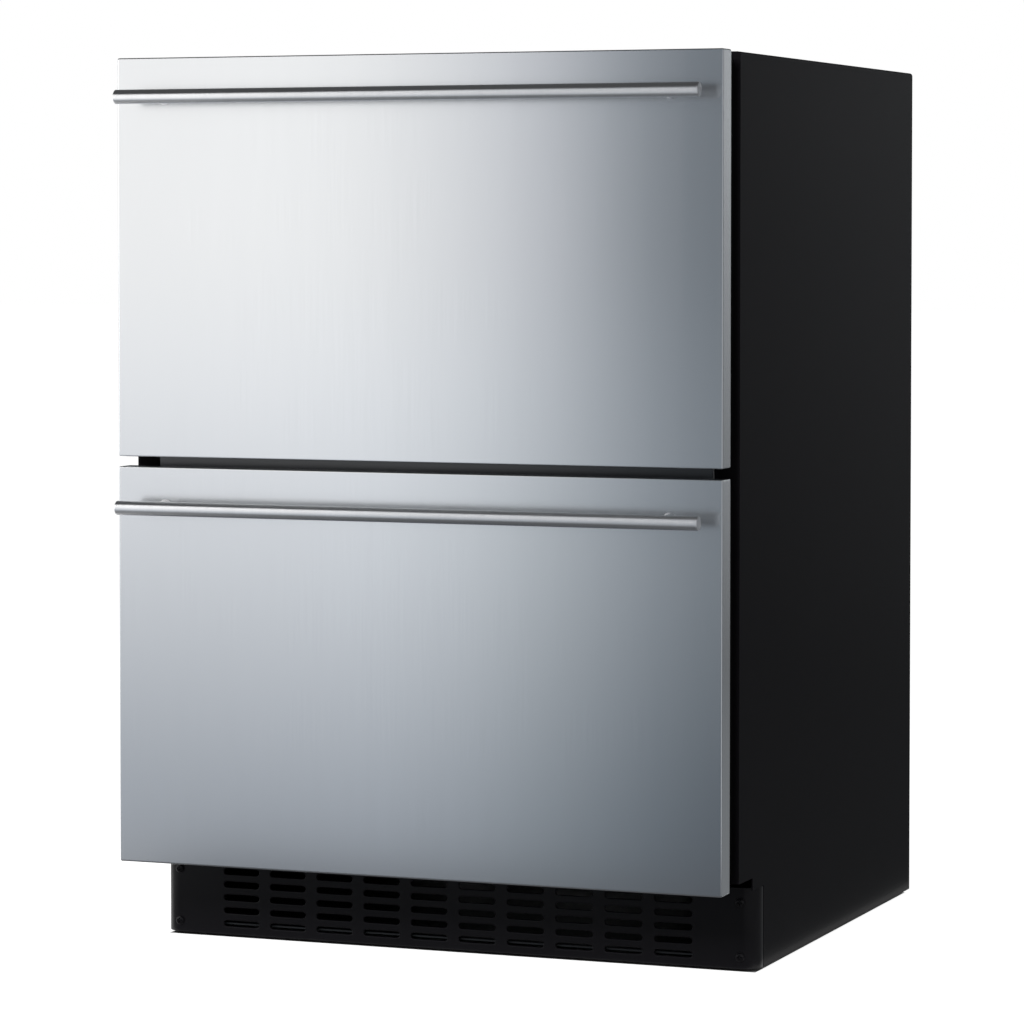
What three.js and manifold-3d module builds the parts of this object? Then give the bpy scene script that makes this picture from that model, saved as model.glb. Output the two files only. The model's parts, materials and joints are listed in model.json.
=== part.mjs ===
// Undercounter refrigerator with two full-extension drawers, as an assembly of separate pieces.
// Millimetres, +Z up, drawer fronts facing -Y, +X to the right of someone facing the drawers.
// The origin is the middle of the footprint, on the floor.
import * as THREE from "three";
import { mergeVertices } from "three/addons/utils/BufferGeometryUtils.js";
import Module from "manifold-3d";

const wasm = await Module();
wasm.setup();

// ---------------------------------------------------------------- driving dimensions
const SEAT = 0.3; // gap left between pieces that touch
const FOOT_SHOW = 3; // how far the screwed-in feet lift the cabinet's lower edges

const FRONT_WIDTH = 597;
const FRONT_HEIGHT = 372.5;
const FRONT_GAP = 9.5; // between the two drawer fronts
const FRONT_DEPTH = 22; // side returns of the folded steel front
const FRONT_BASE = 84; // lower edge of the lower front

const CABINET_WIDTH = 600;
const CABINET_FACE = 44; // front flange of the cabinet, behind the drawer faces
const BODY_DEPTH = 602; // drawer faces to the rear edge of the cabinet
const SHEET = 1.2; // steel sheet
const FLANGE = 24; // width of the cabinet's front flange

const KICK_HEIGHT = 74.5;
const KICK_FACE = 98; // kick plate's face, behind the drawer faces
const KICK_HALF_WIDTH = 299.7;
const KICK_CORNER = 16;
const NOTCH_HEIGHT = 86.5; // toe notch in the cabinet sides
const NOTCH_DEPTH = 84; // where the notch ends above the kick plate

const BAR_LENGTH = 572;
const BAR_RADIUS = 6.6;
const BAR_STANDOFF = 28.4; // drawer face to the bar's centre line
const BAR_DROP = 37; // front's top edge to the bar's centre line
const POST_SPACING = 499;
const POST_RADIUS = 5.5;
const POST_FOOT = 7;

const UPPER_SLIDE = 440; // length of a closed telescopic slide
const LOWER_SLIDE = 318; // shorter, in front of the machine compartment

// ---------------------------------------------------------------- sizes worked out from those
const UPPER_BASE = FRONT_BASE + FRONT_HEIGHT + FRONT_GAP;
const TOP = UPPER_BASE + FRONT_HEIGHT; // top edge of the upper front, 838.5 above the floor
const CABINET_TOP = TOP - 1;
const SIDE = CABINET_WIDTH / 2;
const NOTCH_TOP = FOOT_SHOW + NOTCH_HEIGHT;
const KICK_TOP = FOOT_SHOW + KICK_HEIGHT;
const KICK_END = KICK_FACE + KICK_CORNER + 2; // rear edges of the plate's wrapped ends
const INSIDE = SIDE - SHEET - SEAT; // half width that fits between the cabinet's side sheets
const REAR_PANEL = BODY_DEPTH - 2.5; // front face of the rear panels
const BAR_REACH = BAR_STANDOFF + BAR_RADIUS;
const FACE_Y = BAR_REACH - (BAR_REACH + BODY_DEPTH) / 2; // drawer face plane in the object's frame

// the cavity: plastic liner inside foam
const LINER_WALL = 2.5;
const CAVITY_HALF = 258.3;
const CAVITY_FLOOR = 122;
const CAVITY_CEILING = 799;
const CAVITY_BACK = 555;
const HUMP_FACE = 378.5; // step in the cavity's floor, over the machine compartment
const HUMP_TOP = 246;
const OPENING_LOW = 116; // inner edge of the cabinet's lower front rail
const OPENING_HIGH = CABINET_TOP - FLANGE;

// machine compartment under the hump
const BULKHEAD_FACE = 411;
const MACHINE_TOP = 212;
const PAN_FLOOR = 12;
const PAN_TOP = PAN_FLOOR + 1.5;

// ---------------------------------------------------------------- finishes
const finish = (color, roughness, metalness) =>
  new THREE.MeshStandardMaterial({ color, roughness, metalness });
const STEEL = finish(0xc3c7ca, 0.34, 0.9);
const BAR_STEEL = finish(0xb4b7ba, 0.28, 0.95);
const BLACK_PAINT = finish(0x17181a, 0.45, 0.2);
const BLACK_PLASTIC = finish(0x0c0c0d, 0.5, 0);
const DARK_GREY = finish(0x3a3d40, 0.5, 0);
const RUBBER = finish(0x141414, 0.8, 0);
const LINER_WHITE = finish(0xe8eaea, 0.35, 0);
const BIN_GREY = finish(0xdadddf, 0.3, 0);
const FOAM = finish(0xe6d9a8, 0.9, 0);
const ZINC = finish(0xb9bdc0, 0.4, 0.85);
const ALUMINIUM = finish(0xc8cbce, 0.35, 0.9);
const COPPER = finish(0xb9734a, 0.35, 0.9);
const LENS = finish(0xf4f4ee, 0.2, 0);
const GLASS = finish(0x0a0f14, 0.1, 0);

// ---------------------------------------------------------------- modelling helpers
function piece(name, geometry, material, x = 0, y = 0, z = 0) {
  const mesh = new THREE.Mesh(geometry, material);
  mesh.name = name;
  mesh.position.set(x, y, z);
  return mesh;
}

function block(x0, x1, y0, y1, z0, z1) {
  const geometry = new THREE.BoxGeometry(x1 - x0, y1 - y0, z1 - z0);
  return geometry.translate((x0 + x1) / 2, (y0 + y1) / 2, (z0 + z1) / 2);
}

const outline = (points) => new THREE.Shape(points.map(([a, b]) => new THREE.Vector2(a, b)));

// Extrusions of a drawn outline: (x, z) along Y, (y, z) along X and (x, y) along Z.
const X = new THREE.Vector3(1, 0, 0);
const Y = new THREE.Vector3(0, 1, 0);
const Z = new THREE.Vector3(0, 0, 1);

const BACKWARD = Y.clone().negate();
const LEFTWARD = X.clone().negate();

function extruded(shape, depth, across, up, along) {
  const geometry = new THREE.ExtrudeGeometry(shape, { depth, bevelEnabled: false });
  return geometry.applyMatrix4(new THREE.Matrix4().makeBasis(across, up, along));
}
const alongX = (shape, x0, x1) => extruded(shape, x1 - x0, Y, Z, X).translate(x0, 0, 0);
const alongZ = (shape, z0, z1) => extruded(shape, z1 - z0, X, Y, Z).translate(0, 0, z0);
const alongY = (shape, y0, y1) => extruded(shape, y1 - y0, X, Z, BACKWARD).translate(0, y1, 0);

// A turned piece: its profile is [radius, height] pairs from axis to axis, and it stands along `axis`.
function turned(profile, axis = Z, segments = 24) {
  const geometry = new THREE.LatheGeometry(profile.map(([r, h]) => new THREE.Vector2(r, h)), segments);
  const turn = new THREE.Quaternion().setFromUnitVectors(Y, axis);
  return geometry.applyQuaternion(turn);
}

function rod(radius, from, to, axis, segments = 24) {
  return turned([[0, from], [radius, from], [radius, to], [0, to]], axis, segments);
}

// The corners of a rectangle a0..a1 by b0..b1, rounded, counter-clockwise from a towards b.
function roundedCorners(a0, a1, b0, b1, radius, steps = 3) {
  const centres = [
    [a1 - radius, b0 + radius, -90], [a1 - radius, b1 - radius, 0],
    [a0 + radius, b1 - radius, 90], [a0 + radius, b0 + radius, 180],
  ];
  return centres.flatMap(([a, b, start]) =>
    Array.from({ length: steps + 1 }, (_, i) => {
      const angle = THREE.MathUtils.degToRad(start + (90 * i) / steps);
      return [a + radius * Math.cos(angle), b + radius * Math.sin(angle)];
    }));
}

// The same rounded rectangle as a ring standing at a depth y, or lying at a height z.
const ringAtDepth = (y, x0, x1, z0, z1, radius, steps) =>
  roundedCorners(z0, z1, x0, x1, radius, steps).map(([z, x]) => [x, y, z]);
const ringAtHeight = (z, x0, x1, y0, y1, radius, steps) =>
  roundedCorners(x0, x1, y0, y1, radius, steps).map(([x, y]) => [x, y, z]);

// Skins rings of equally many points into one closed body, with flat ends or closed on itself.
function loft(rings, closed = false) {
  const n = rings[0].length;
  const index = [];
  const spans = closed ? rings.length : rings.length - 1;
  for (let r = 0; r < spans; r++) {
    const a = r * n;
    const b = ((r + 1) % rings.length) * n;
    for (let i = 0; i < n; i++) {
      const j = (i + 1) % n;
      index.push(a + i, a + j, b + j, a + i, b + j, b + i);
    }
  }
  if (!closed) {
    const end = (rings.length - 1) * n;
    for (let i = 1; i < n - 1; i++) {
      index.push(0, i + 1, i, end, end + i, end + i + 1);
    }
  }
  const geometry = new THREE.BufferGeometry();
  geometry.setAttribute("position", new THREE.Float32BufferAttribute(rings.flat(2), 3));
  geometry.setIndex(index);
  geometry.computeVertexNormals();
  return geometry;
}

// A closed mesh with its shared corners merged and the triangles that this collapses left out.
function welded(geometry, tolerance) {
  const bare = geometry.clone();
  for (const name of Object.keys(bare.attributes)) {
    if (name !== "position") bare.deleteAttribute(name);
  }
  const merged = mergeVertices(bare, tolerance);
  const corners = Array.from(merged.index.array);
  const triangles = [];
  for (let i = 0; i < corners.length; i += 3) {
    const [a, b, c] = corners.slice(i, i + 3);
    if (a !== b && b !== c && a !== c) triangles.push(a, b, c);
  }
  return merged.setIndex(triangles);
}

// Joins and cuts.
function solid(geometry) {
  const mesh = welded(geometry, 1e-4);
  return new wasm.Manifold(new wasm.Mesh({
    numProp: 3,
    vertProperties: Float32Array.from(mesh.attributes.position.array),
    triVerts: Uint32Array.from(mesh.index.array),
  }));
}

function surface(manifold) {
  const { vertProperties, triVerts } = manifold.getMesh();
  const geometry = new THREE.BufferGeometry();
  geometry.setAttribute("position", new THREE.BufferAttribute(vertProperties, 3));
  geometry.setIndex(new THREE.BufferAttribute(triVerts, 1));
  const mesh = welded(geometry, 1e-3);
  mesh.computeVertexNormals();
  return mesh;
}
const join = (first, ...rest) =>
  surface(rest.reduce((sum, geometry) => sum.add(solid(geometry)), solid(first)));
const cut = (body, ...tools) =>
  surface(tools.reduce((left, geometry) => left.subtract(solid(geometry)), solid(body)));

// ---------------------------------------------------------------- drawer fronts
// A drawer's own frame: depth from the face of its front, height from the front's lower edge.
const HALF_FRONT = FRONT_WIDTH / 2;
const BEND = 2;
const GASKET_WIDTH = 16;
const GASKET_EDGE = { side: 4.5, low: 9, high: 4.5 };
const DOOR_BACK = 30; // rear face of the inner door's flange
const PLUG_BACK = 46; // rear face of its raised centre
const PLUG_FOOT = { half: 272, low: 28, high: 349 };
const PLUG_CROWN = { half: 250, low: 44, high: 325 };

// Folded steel pan: flat face, small bend radius, four side returns, open at the back.
function frontPanel() {
  const ring = (y, inset) =>
    ringAtDepth(y, -HALF_FRONT + inset, HALF_FRONT - inset, inset, FRONT_HEIGHT - inset,
      Math.max(1.4 - inset, 0.3), 2);
  const bends = [0, 30, 60, 90].map((degrees) => {
    const angle = THREE.MathUtils.degToRad(degrees);
    return ring(BEND * (1 - Math.cos(angle)), BEND * (1 - Math.sin(angle)));
  });
  return loft([
    ...bends, ring(FRONT_DEPTH, 0), ring(FRONT_DEPTH, SHEET), ring(SHEET + 0.3, SHEET),
    ring(SHEET, SHEET + 0.3),
  ]);
}

// Thin moulded tray: a flange over the pan's back and a raised centre that enters the opening.
function innerDoor() {
  const wall = 2.5;
  const front = FRONT_DEPTH + SEAT;
  const edge = 4;
  const flange = (y) =>
    ringAtDepth(y, -HALF_FRONT + edge, HALF_FRONT - edge, edge, FRONT_HEIGHT - edge, 3);
  const plug = ({ half, low, high }, y, inset) =>
    ringAtDepth(y, -half + inset, half - inset, low + inset, high - inset, 8);
  return loft([
    plug(PLUG_CROWN, PLUG_BACK - wall, wall), plug(PLUG_FOOT, front, wall), flange(front),
    flange(DOOR_BACK), plug(PLUG_FOOT, DOOR_BACK, 0), plug(PLUG_CROWN, PLUG_BACK, 0),
  ]);
}

// Magnetic gasket: a mitred ring with a broad base on the door and a rounded bulb to the cabinet.
function gasket() {
  const seat = DOOR_BACK + 0.1;
  const bulb = CABINET_FACE - 0.4;
  const { side, low, high } = GASKET_EDGE;
  const ring = (y, inset) =>
    ringAtDepth(y, -HALF_FRONT + side + inset, HALF_FRONT - side - inset, low + inset,
      FRONT_HEIGHT - high - inset, 6, 2);
  const section = [
    [0, 0], [3, 0], [3, 2], [7, 1.5], [10, 2], [bulb - seat - 1.5, 1.2], [bulb - seat, 3],
  ];
  const outer = section.map(([rise, inset]) => ring(seat + rise, inset));
  const inner = section.toReversed().map(([rise, inset]) => ring(seat + rise, GASKET_WIDTH - inset));
  return loft([...outer, ...inner], true);
}

// Round bar with a small chamfer at each end, lying along X.
function handleBar() {
  const half = BAR_LENGTH / 2;
  const chamfer = 0.8;
  return turned([
    [0, -half], [BAR_RADIUS - chamfer, -half], [BAR_RADIUS, -half + chamfer],
    [BAR_RADIUS, half - chamfer], [BAR_RADIUS - chamfer, half], [0, half],
  ], X, 32);
}

// Round post from a small foot on the steel front to a saddle cut for the bar.
function handlePost() {
  const post = turned([
    [0, SEAT], [POST_FOOT, SEAT], [POST_FOOT, 1.6], [POST_RADIUS, 3], [POST_RADIUS, BAR_STANDOFF],
    [0, BAR_STANDOFF],
  ], BACKWARD, 20);
  const saddle = rod(BAR_RADIUS + SEAT, -20, 20, X, 32).translate(0, -BAR_STANDOFF, 0);
  return cut(post, saddle);
}

// Deep bin with rounded upright corners and a rolled rim.
const BIN_HALF = 245;
const BIN_LOW = 46;
const BIN_HIGH = 276;
const BIN_FRONT = 49.8;
const BIN_WALL = 1.5;
function bin(length) {
  const rear = BIN_FRONT + length;
  const ring = (z, inset, radius) =>
    ringAtHeight(z, -BIN_HALF + inset, BIN_HALF - inset, BIN_FRONT + inset, rear - inset, radius, 5);
  const rim = 3;
  return loft([
    ring(BIN_LOW, 4, 11), ring(BIN_LOW + 4, 0, 15), ring(BIN_HIGH - 7, 0, 15),
    ring(BIN_HIGH - 6, -rim, 18), ring(BIN_HIGH, -rim, 18), ring(BIN_HIGH, BIN_WALL, 13.5),
    ring(BIN_LOW + 5, BIN_WALL, 13.5), ring(BIN_LOW + BIN_WALL, 5, 10),
  ]);
}

// ---------------------------------------------------------------- telescopic slides
// Three nested C sections, drawn as [out from the liner wall, height]. The cabinet and middle
// members open away from the wall, and the drawer member closes back over the middle one.
const SLIDE_HEIGHT = 150; // centre line above the front's lower edge
const SLIDE_DEPTH = 12.7;
const SLIDE_FRONT = 47;
const cSection = (web, tip, half, lip, wall = 1.2) => {
  const inward = Math.sign(tip - web) * wall;
  return [
    [web, -half], [tip, -half], [tip, -half + lip], [tip - inward, -half + lip],
    [tip - inward, -half + wall], [web + inward, -half + wall], [web + inward, half - wall],
    [tip - inward, half - wall], [tip - inward, half - lip], [tip, half - lip], [tip, half],
    [web, half],
  ];
};
const SLIDE_SECTIONS = {
  cabinet: cSection(0, 10.5, 22.7, 3.6),
  middle: cSection(2.8, 9.9, 18.2, 3.2),
  drawer: cSection(SLIDE_DEPTH, 6, 13.6, 2.6),
};

// side is -1 for the left slide and 1 for the right one; a stop tab closes the cabinet member.
const STOP_TAB = 8;
function slideMember(part, side, length) {
  const wall = CAVITY_HALF - SEAT;
  const place = ([out, height]) => [side * (wall - out), height];
  const rail = alongY(outline(SLIDE_SECTIONS[part].map(place)), SLIDE_FRONT, SLIDE_FRONT + length);
  if (part !== "cabinet") return rail;
  const end = SLIDE_FRONT + length;
  const [left, right] = [side * wall, side * (wall - STOP_TAB)].toSorted((a, b) => a - b);
  return join(rail, block(left, right, end - SHEET, end, -STOP_TAB, STOP_TAB));
}

function drawer(name, base, slideLength) {
  const group = new THREE.Group();
  group.position.z = base;
  const barHeight = FRONT_HEIGHT - BAR_DROP;
  const members = ["left", "right"].map((label, i) =>
    piece(`${name}_slide_drawer_member_${label}`, slideMember("drawer", 2 * i - 1, slideLength),
      ZINC, 0, 0, SLIDE_HEIGHT));
  const posts = ["left", "right"].map((label, i) =>
    piece(`${name}_handle_post_${label}`, handlePost(), BAR_STEEL,
      (i - 0.5) * POST_SPACING, 0, barHeight));
  group.add(
    piece(`${name}_front_panel`, frontPanel(), STEEL),
    piece(`${name}_inner_door`, innerDoor(), BLACK_PLASTIC),
    piece(`${name}_gasket`, gasket(), RUBBER),
    piece(`${name}_handle_bar`, handleBar(), BAR_STEEL, 0, -BAR_STANDOFF, barHeight),
    piece(`${name}_bin`, bin(slideLength - 3), BIN_GREY),
    ...posts, ...members,
  );
  return group;
}

// The members between a drawer and the cabinet, and those fixed to the liner.
function drawerRunners(name, base, slideLength) {
  return ["left", "right"].flatMap((label, i) => [
    piece(`${name}_slide_cabinet_member_${label}`, slideMember("cabinet", 2 * i - 1, slideLength),
      ZINC, 0, 0, base + SLIDE_HEIGHT),
    piece(`${name}_slide_middle_member_${label}`, slideMember("middle", 2 * i - 1, slideLength - 2),
      ZINC, 0, 0, base + SLIDE_HEIGHT),
  ]);
}

// ---------------------------------------------------------------- cabinet shell
// Folded wrapper: two sides and the top in one sheet, a flange round the front, toe notches below
// that step down to take the kick plate's wrapped ends.
const PLATE_SEAM = 0.6;
function outerWrapper() {
  const deep = 20; // drawn this far below the floor, then cut off level
  const tube = (inset, y0, y1) =>
    alongY(outline(roundedCorners(-SIDE + inset, SIDE - inset, -deep + inset, CABINET_TOP - inset,
      3 - inset)), y0, y1);
  return cut(
    tube(0, CABINET_FACE, BODY_DEPTH),
    tube(SHEET, CABINET_FACE + SHEET, BODY_DEPTH + 1),
    block(-SIDE + FLANGE, SIDE - FLANGE, CABINET_FACE - 1, CABINET_FACE + 2,
      OPENING_LOW, OPENING_HIGH),
    block(-SIDE - 1, SIDE + 1, CABINET_FACE - 1, NOTCH_DEPTH, -deep - 1, NOTCH_TOP),
    block(-SIDE - 1, SIDE + 1, CABINET_FACE - 1, KICK_END + PLATE_SEAM, -deep - 1,
      KICK_TOP + PLATE_SEAM),
    block(-SIDE - 1, SIDE + 1, CABINET_FACE - 1, BODY_DEPTH + 1, -deep - 1, FOOT_SHOW),
  );
}

// The cavity seen from the side, grown outwards for the liner's skin and the foam's face.
const cavityOutline = (grow, front) => outline([
  [front, CAVITY_FLOOR - grow], [HUMP_FACE + grow, CAVITY_FLOOR - grow],
  [HUMP_FACE + grow, HUMP_TOP - grow], [CAVITY_BACK + grow, HUMP_TOP - grow],
  [CAVITY_BACK + grow, CAVITY_CEILING + grow], [front, CAVITY_CEILING + grow],
]);
const LINER_HALF = CAVITY_HALF + LINER_WALL;
const LINER_FLANGE = 2.5;

function innerLiner() {
  const edge = SIDE - FLANGE - SEAT;
  const skin = join(
    alongX(cavityOutline(LINER_WALL, CABINET_FACE), -LINER_HALF, LINER_HALF),
    block(-edge, edge, CABINET_FACE, CABINET_FACE + LINER_FLANGE,
      OPENING_LOW + SEAT, OPENING_HIGH - SEAT),
  );
  return cut(skin, alongX(cavityOutline(0, CABINET_FACE - 1), -CAVITY_HALF, CAVITY_HALF));
}

// Foam between the sheet metal and the liner, stepped over the machine compartment.
function foamInsulation() {
  const front = CABINET_FACE + SHEET + SEAT;
  const rear = REAR_PANEL - SEAT;
  const low = NOTCH_TOP + SHEET + SEAT;
  const edge = SIDE - FLANGE;
  return cut(
    alongY(outline(roundedCorners(-INSIDE, INSIDE, low, CABINET_TOP - SHEET - SEAT, 2)), front, rear),
    block(-SIDE, SIDE, BULKHEAD_FACE - SEAT, BODY_DEPTH, 0, MACHINE_TOP + SHEET + SEAT),
    alongX(cavityOutline(LINER_WALL + SEAT, 0), -LINER_HALF - SEAT, LINER_HALF + SEAT),
    block(-edge, edge, 0, CABINET_FACE + LINER_FLANGE + SEAT, OPENING_LOW, OPENING_HIGH),
  );
}

// One sheet folded under the cavity, up the machine compartment's front and back over its top.
function bulkhead() {
  const front = CABINET_FACE + SHEET + SEAT;
  const rear = REAR_PANEL - SEAT;
  return alongX(outline([
    [front, NOTCH_TOP], [BULKHEAD_FACE + SHEET, NOTCH_TOP], [BULKHEAD_FACE + SHEET, MACHINE_TOP],
    [rear, MACHINE_TOP], [rear, MACHINE_TOP + SHEET], [BULKHEAD_FACE, MACHINE_TOP + SHEET],
    [BULKHEAD_FACE, NOTCH_TOP + SHEET], [front, NOTCH_TOP + SHEET],
  ]), -INSIDE, INSIDE);
}

// Bar across the opening that both gaskets close on, with a cover strip seen between the fronts.
const MULLION = { low: 433, high: 494, rear: 84 };
const COVER_STRIP = { face: 41.2, low: 453.25, high: 473.25 };

function mullionBar() {
  const half = CAVITY_HALF - SEAT;
  const cover = SIDE - FLANGE - 2 * SEAT;
  const { face, low, high } = COVER_STRIP;
  return join(
    block(-half, half, CABINET_FACE - 0.1, MULLION.rear, MULLION.low, MULLION.high),
    block(-cover, cover, face, CABINET_FACE - SEAT, low, high),
    block(-half + 1, half - 1, face + 1, CABINET_FACE + 1, low + 1, high - 1),
  );
}

function backPanel() {
  return alongY(outline(roundedCorners(-INSIDE, INSIDE, MACHINE_TOP + SEAT,
    CABINET_TOP - SHEET - SEAT, 2)), REAR_PANEL, REAR_PANEL + SHEET);
}

// A horizontal slot with round ends, as a cutting tool through a plate that faces -Y.
function slot(x, z, width, height, y0, y1) {
  const radius = height / 2;
  const reach = width / 2 - radius;
  const ends = [1, -1].flatMap((side) => Array.from({ length: 5 }, (_, i) => {
    const angle = (side * Math.PI) / 2 * (i / 2 - 1);
    return [x + side * (reach + radius * Math.cos(angle)), z + radius * Math.sin(angle)];
  }));
  return alongY(outline(ends), y0, y1);
}

const GROMMET = { x: 225, z: 60, radius: 10 };
const VENT = { columns: [-185, -45, 95], rows: 5, lowest: 60, pitch: 24, width: 110, height: 8 };
function machineCover() {
  const through = [REAR_PANEL - 1, REAR_PANEL + SHEET + 1];
  const vents = VENT.columns.flatMap((x) =>
    Array.from({ length: VENT.rows }, (_, row) =>
      slot(x, VENT.lowest + VENT.pitch * row, VENT.width, VENT.height, ...through)));
  const cordHole = rod(GROMMET.radius + SEAT, ...through, Y).translate(GROMMET.x, 0, GROMMET.z);
  return cut(
    block(-INSIDE, INSIDE, REAR_PANEL, REAR_PANEL + SHEET, PAN_TOP + SEAT, MACHINE_TOP - SEAT),
    ...vents, cordHole,
  );
}

// Rubber grommet in the rear cover where the supply cord passes; the cord itself isn't part of this.
function cordGrommet() {
  const { radius } = GROMMET;
  return turned([
    [4, -4], [radius + 3, -4], [radius + 3, -SEAT], [radius, -SEAT], [radius, SHEET + SEAT],
    [radius + 3, SHEET + SEAT], [radius + 2.4, SHEET + 1.2], [4, SHEET + 1.2], [4, -4],
  ], Y, 16);
}

// ---------------------------------------------------------------- kick plate and base
const SLOT = { width: 37, height: 5.6, columns: 10, pitch: 48.6, rows: 5, rise: 12.55, first: 10.3 };
const SCREWS = { x: 283.5, heights: [10.8, 61] }; // at the ends of the plate's flat face
const PLATE = 2;

// Where each screw's head meets the plate.
const SCREW_POINTS = [-1, 1].flatMap((side) => SCREWS.heights.map((height) =>
  [side * SCREWS.x, KICK_FACE, FOOT_SHOW + height]));
const SHANK = 2;
const screwHoles = () => SCREW_POINTS.map((point) =>
  rod(SHANK + 0.4, -16, 5, BACKWARD, 16).translate(...point));

// Slotted toe plate wrapped round both front corners, its ends flush with the cabinet's sides.
function kickPlate() {
  const deep = 100; // drawn this far back, then cut off behind the corners
  const wrap = (inset, over) =>
    alongZ(outline(roundedCorners(-KICK_HALF_WIDTH + inset, KICK_HALF_WIDTH - inset,
      KICK_FACE + inset, KICK_FACE + deep, KICK_CORNER - inset, 8)), FOOT_SHOW - over, KICK_TOP + over);
  const across = ((SLOT.columns - 1) * SLOT.pitch) / 2;
  const slots = Array.from({ length: SLOT.columns * SLOT.rows }, (_, i) => {
    const x = (i % SLOT.columns) * SLOT.pitch - across;
    const z = FOOT_SHOW + SLOT.first + Math.floor(i / SLOT.columns) * SLOT.rise;
    return slot(x, z, SLOT.width, SLOT.height, KICK_FACE - 1, KICK_FACE + PLATE + 1);
  });
  const rear = block(-SIDE, SIDE, KICK_END, KICK_FACE + deep + 1, 0, KICK_TOP + 1);
  return cut(wrap(0, 0), wrap(PLATE, 1), rear, ...slots, ...screwHoles());
}

function kickScrew() {
  return turned([
    [0, -11], [SHANK, -11], [SHANK, SEAT], [4.3, SEAT], [4.3, 0.9], [3.2, 2], [0, 2.6],
  ], BACKWARD, 14);
}

const FEET = [
  ["front_left", -1, 150], ["front_right", 1, 150], ["rear_left", -1, 560], ["rear_right", 1, 560],
];
const FOOT_X = 272;
const STEM_RADIUS = 5;

// Floor of the machine compartment and air duct, with threaded bosses and kick plate brackets.
function basePan() {
  const bracket = KICK_FACE + PLATE + 5; // its front face, 5 mm behind the plate
  const brackets = [-SCREWS.x, SCREWS.x].map((x) =>
    block(x - 7, x + 7, bracket, bracket + 6, PAN_FLOOR + 1, KICK_TOP - 4));
  const bosses = FEET.map(([, side, y]) =>
    rod(STEM_RADIUS + 4, PAN_FLOOR + 0.5, PAN_TOP + 11, Z, 16).translate(side * FOOT_X, y, 0));
  const bores = FEET.map(([, side, y]) =>
    rod(STEM_RADIUS + SEAT, 0, PAN_TOP + 20, Z, 16).translate(side * FOOT_X, y, 0));
  const reach = KICK_HALF_WIDTH - PLATE - 2 * SEAT;
  const corner = KICK_CORNER - PLATE - 1;
  const rim = KICK_FACE + PLATE + 2.5;
  const tongue = alongZ(outline(roundedCorners(-reach, reach, rim, 170, corner, 5)),
    PAN_FLOOR, PAN_TOP);
  const pan = block(-INSIDE, INSIDE, KICK_END + 3, REAR_PANEL - SEAT, PAN_FLOOR, PAN_TOP);
  return cut(join(pan, tongue, ...brackets, ...bosses), ...bores, ...screwHoles());
}

function levellingFoot() {
  return turned([
    [0, 0], [17, 0], [19, 2], [19, 5], [16, 7], [STEM_RADIUS + 2, 8], [STEM_RADIUS, 8],
    [STEM_RADIUS, 50], [0, 50],
  ], Z, 16);
}

// ---------------------------------------------------------------- cooling system
// A serpentine's centre line in the XZ plane: level rows joined by half-round return bends. Each
// stop is a point with the direction of travel, as an angle from +X.
function serpentineStops(length, rows, pitch) {
  const bend = 4;
  return Array.from({ length: rows }, (_, row) => {
    const way = row % 2 ? -1 : 1;
    const level = (row - (rows - 1) / 2) * pitch;
    const heading = way > 0 ? 0 : Math.PI;
    const run = [-way, way].map((end) => ({ x: (end * length) / 2, z: level, heading }));
    if (row === rows - 1) return run;
    const turn = Array.from({ length: bend - 1 }, (_, i) => {
      const swing = (Math.PI * (i + 1)) / bend;
      return {
        x: way * (length / 2 + (pitch / 2) * Math.sin(swing)),
        z: level + (pitch / 2) * (1 - Math.cos(swing)),
        heading: way > 0 ? swing : Math.PI - swing,
      };
    });
    return [...run, ...turn];
  }).flat();
}

// Serpentine tube through flat fins. Tubes run along X, rows climb along Z.
function finnedCoil({ length, rows, pitch, tube, fins, finDepth }) {
  const sides = 6;
  const serpentine = loft(serpentineStops(length, rows, pitch).map(({ x, z, heading }) =>
    Array.from({ length: sides }, (_, i) => {
      const angle = (2 * Math.PI * i) / sides;
      const lift = tube * Math.sin(angle);
      return [x - lift * Math.sin(heading), tube * Math.cos(angle), z + lift * Math.cos(heading)];
    })));
  const height = rows * pitch;
  const plates = Array.from({ length: fins }, (_, i) => {
    const x = ((i + 0.5) / fins - 0.5) * (length - 10);
    return block(x - 0.5, x + 0.5, -finDepth / 2, finDepth / 2, -height / 2, height / 2);
  });
  return join(serpentine, ...plates);
}

// Axial fan wheel on a hub: each blade is a cambered section, twisted from root to tip.
function fanWheel(radius, hub, depth, blades, axis) {
  const section = (r, chord, pitch) => {
    const half = chord / 2;
    const upper = [[-1, 0], [-0.4, 0.16], [0.3, 0.18], [1, 0.04]];
    const lower = [[1, -0.02], [0.3, 0.08], [-0.4, 0.06]];
    return [...upper, ...lower].map(([u, v]) => {
      const along = u * half;
      const camber = v * half;
      return [
        r, along * Math.sin(pitch) + camber * Math.cos(pitch),
        along * Math.cos(pitch) - camber * Math.sin(pitch),
      ];
    });
  };
  const blade = loft([
    section(hub - 2, 0.3 * radius, 0.55), section(0.5 * radius, 0.6 * radius, 0.46),
    section(0.75 * radius, 0.74 * radius, 0.38), section(radius, 0.8 * radius, 0.3),
  ]);
  const body = turned([
    [0, -depth / 2], [hub, -depth / 2], [hub, depth / 2 - 3], [hub - 3, depth / 2], [0, depth / 2],
  ], Y, 4 * blades);
  const wheel = Array.from({ length: blades }, (_, i) =>
    blade.clone().rotateY((2 * Math.PI * (i + 0.3)) / blades));
  const turn = new THREE.Quaternion().setFromUnitVectors(Y, axis);
  return join(body, ...wheel).applyQuaternion(turn);
}

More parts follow.
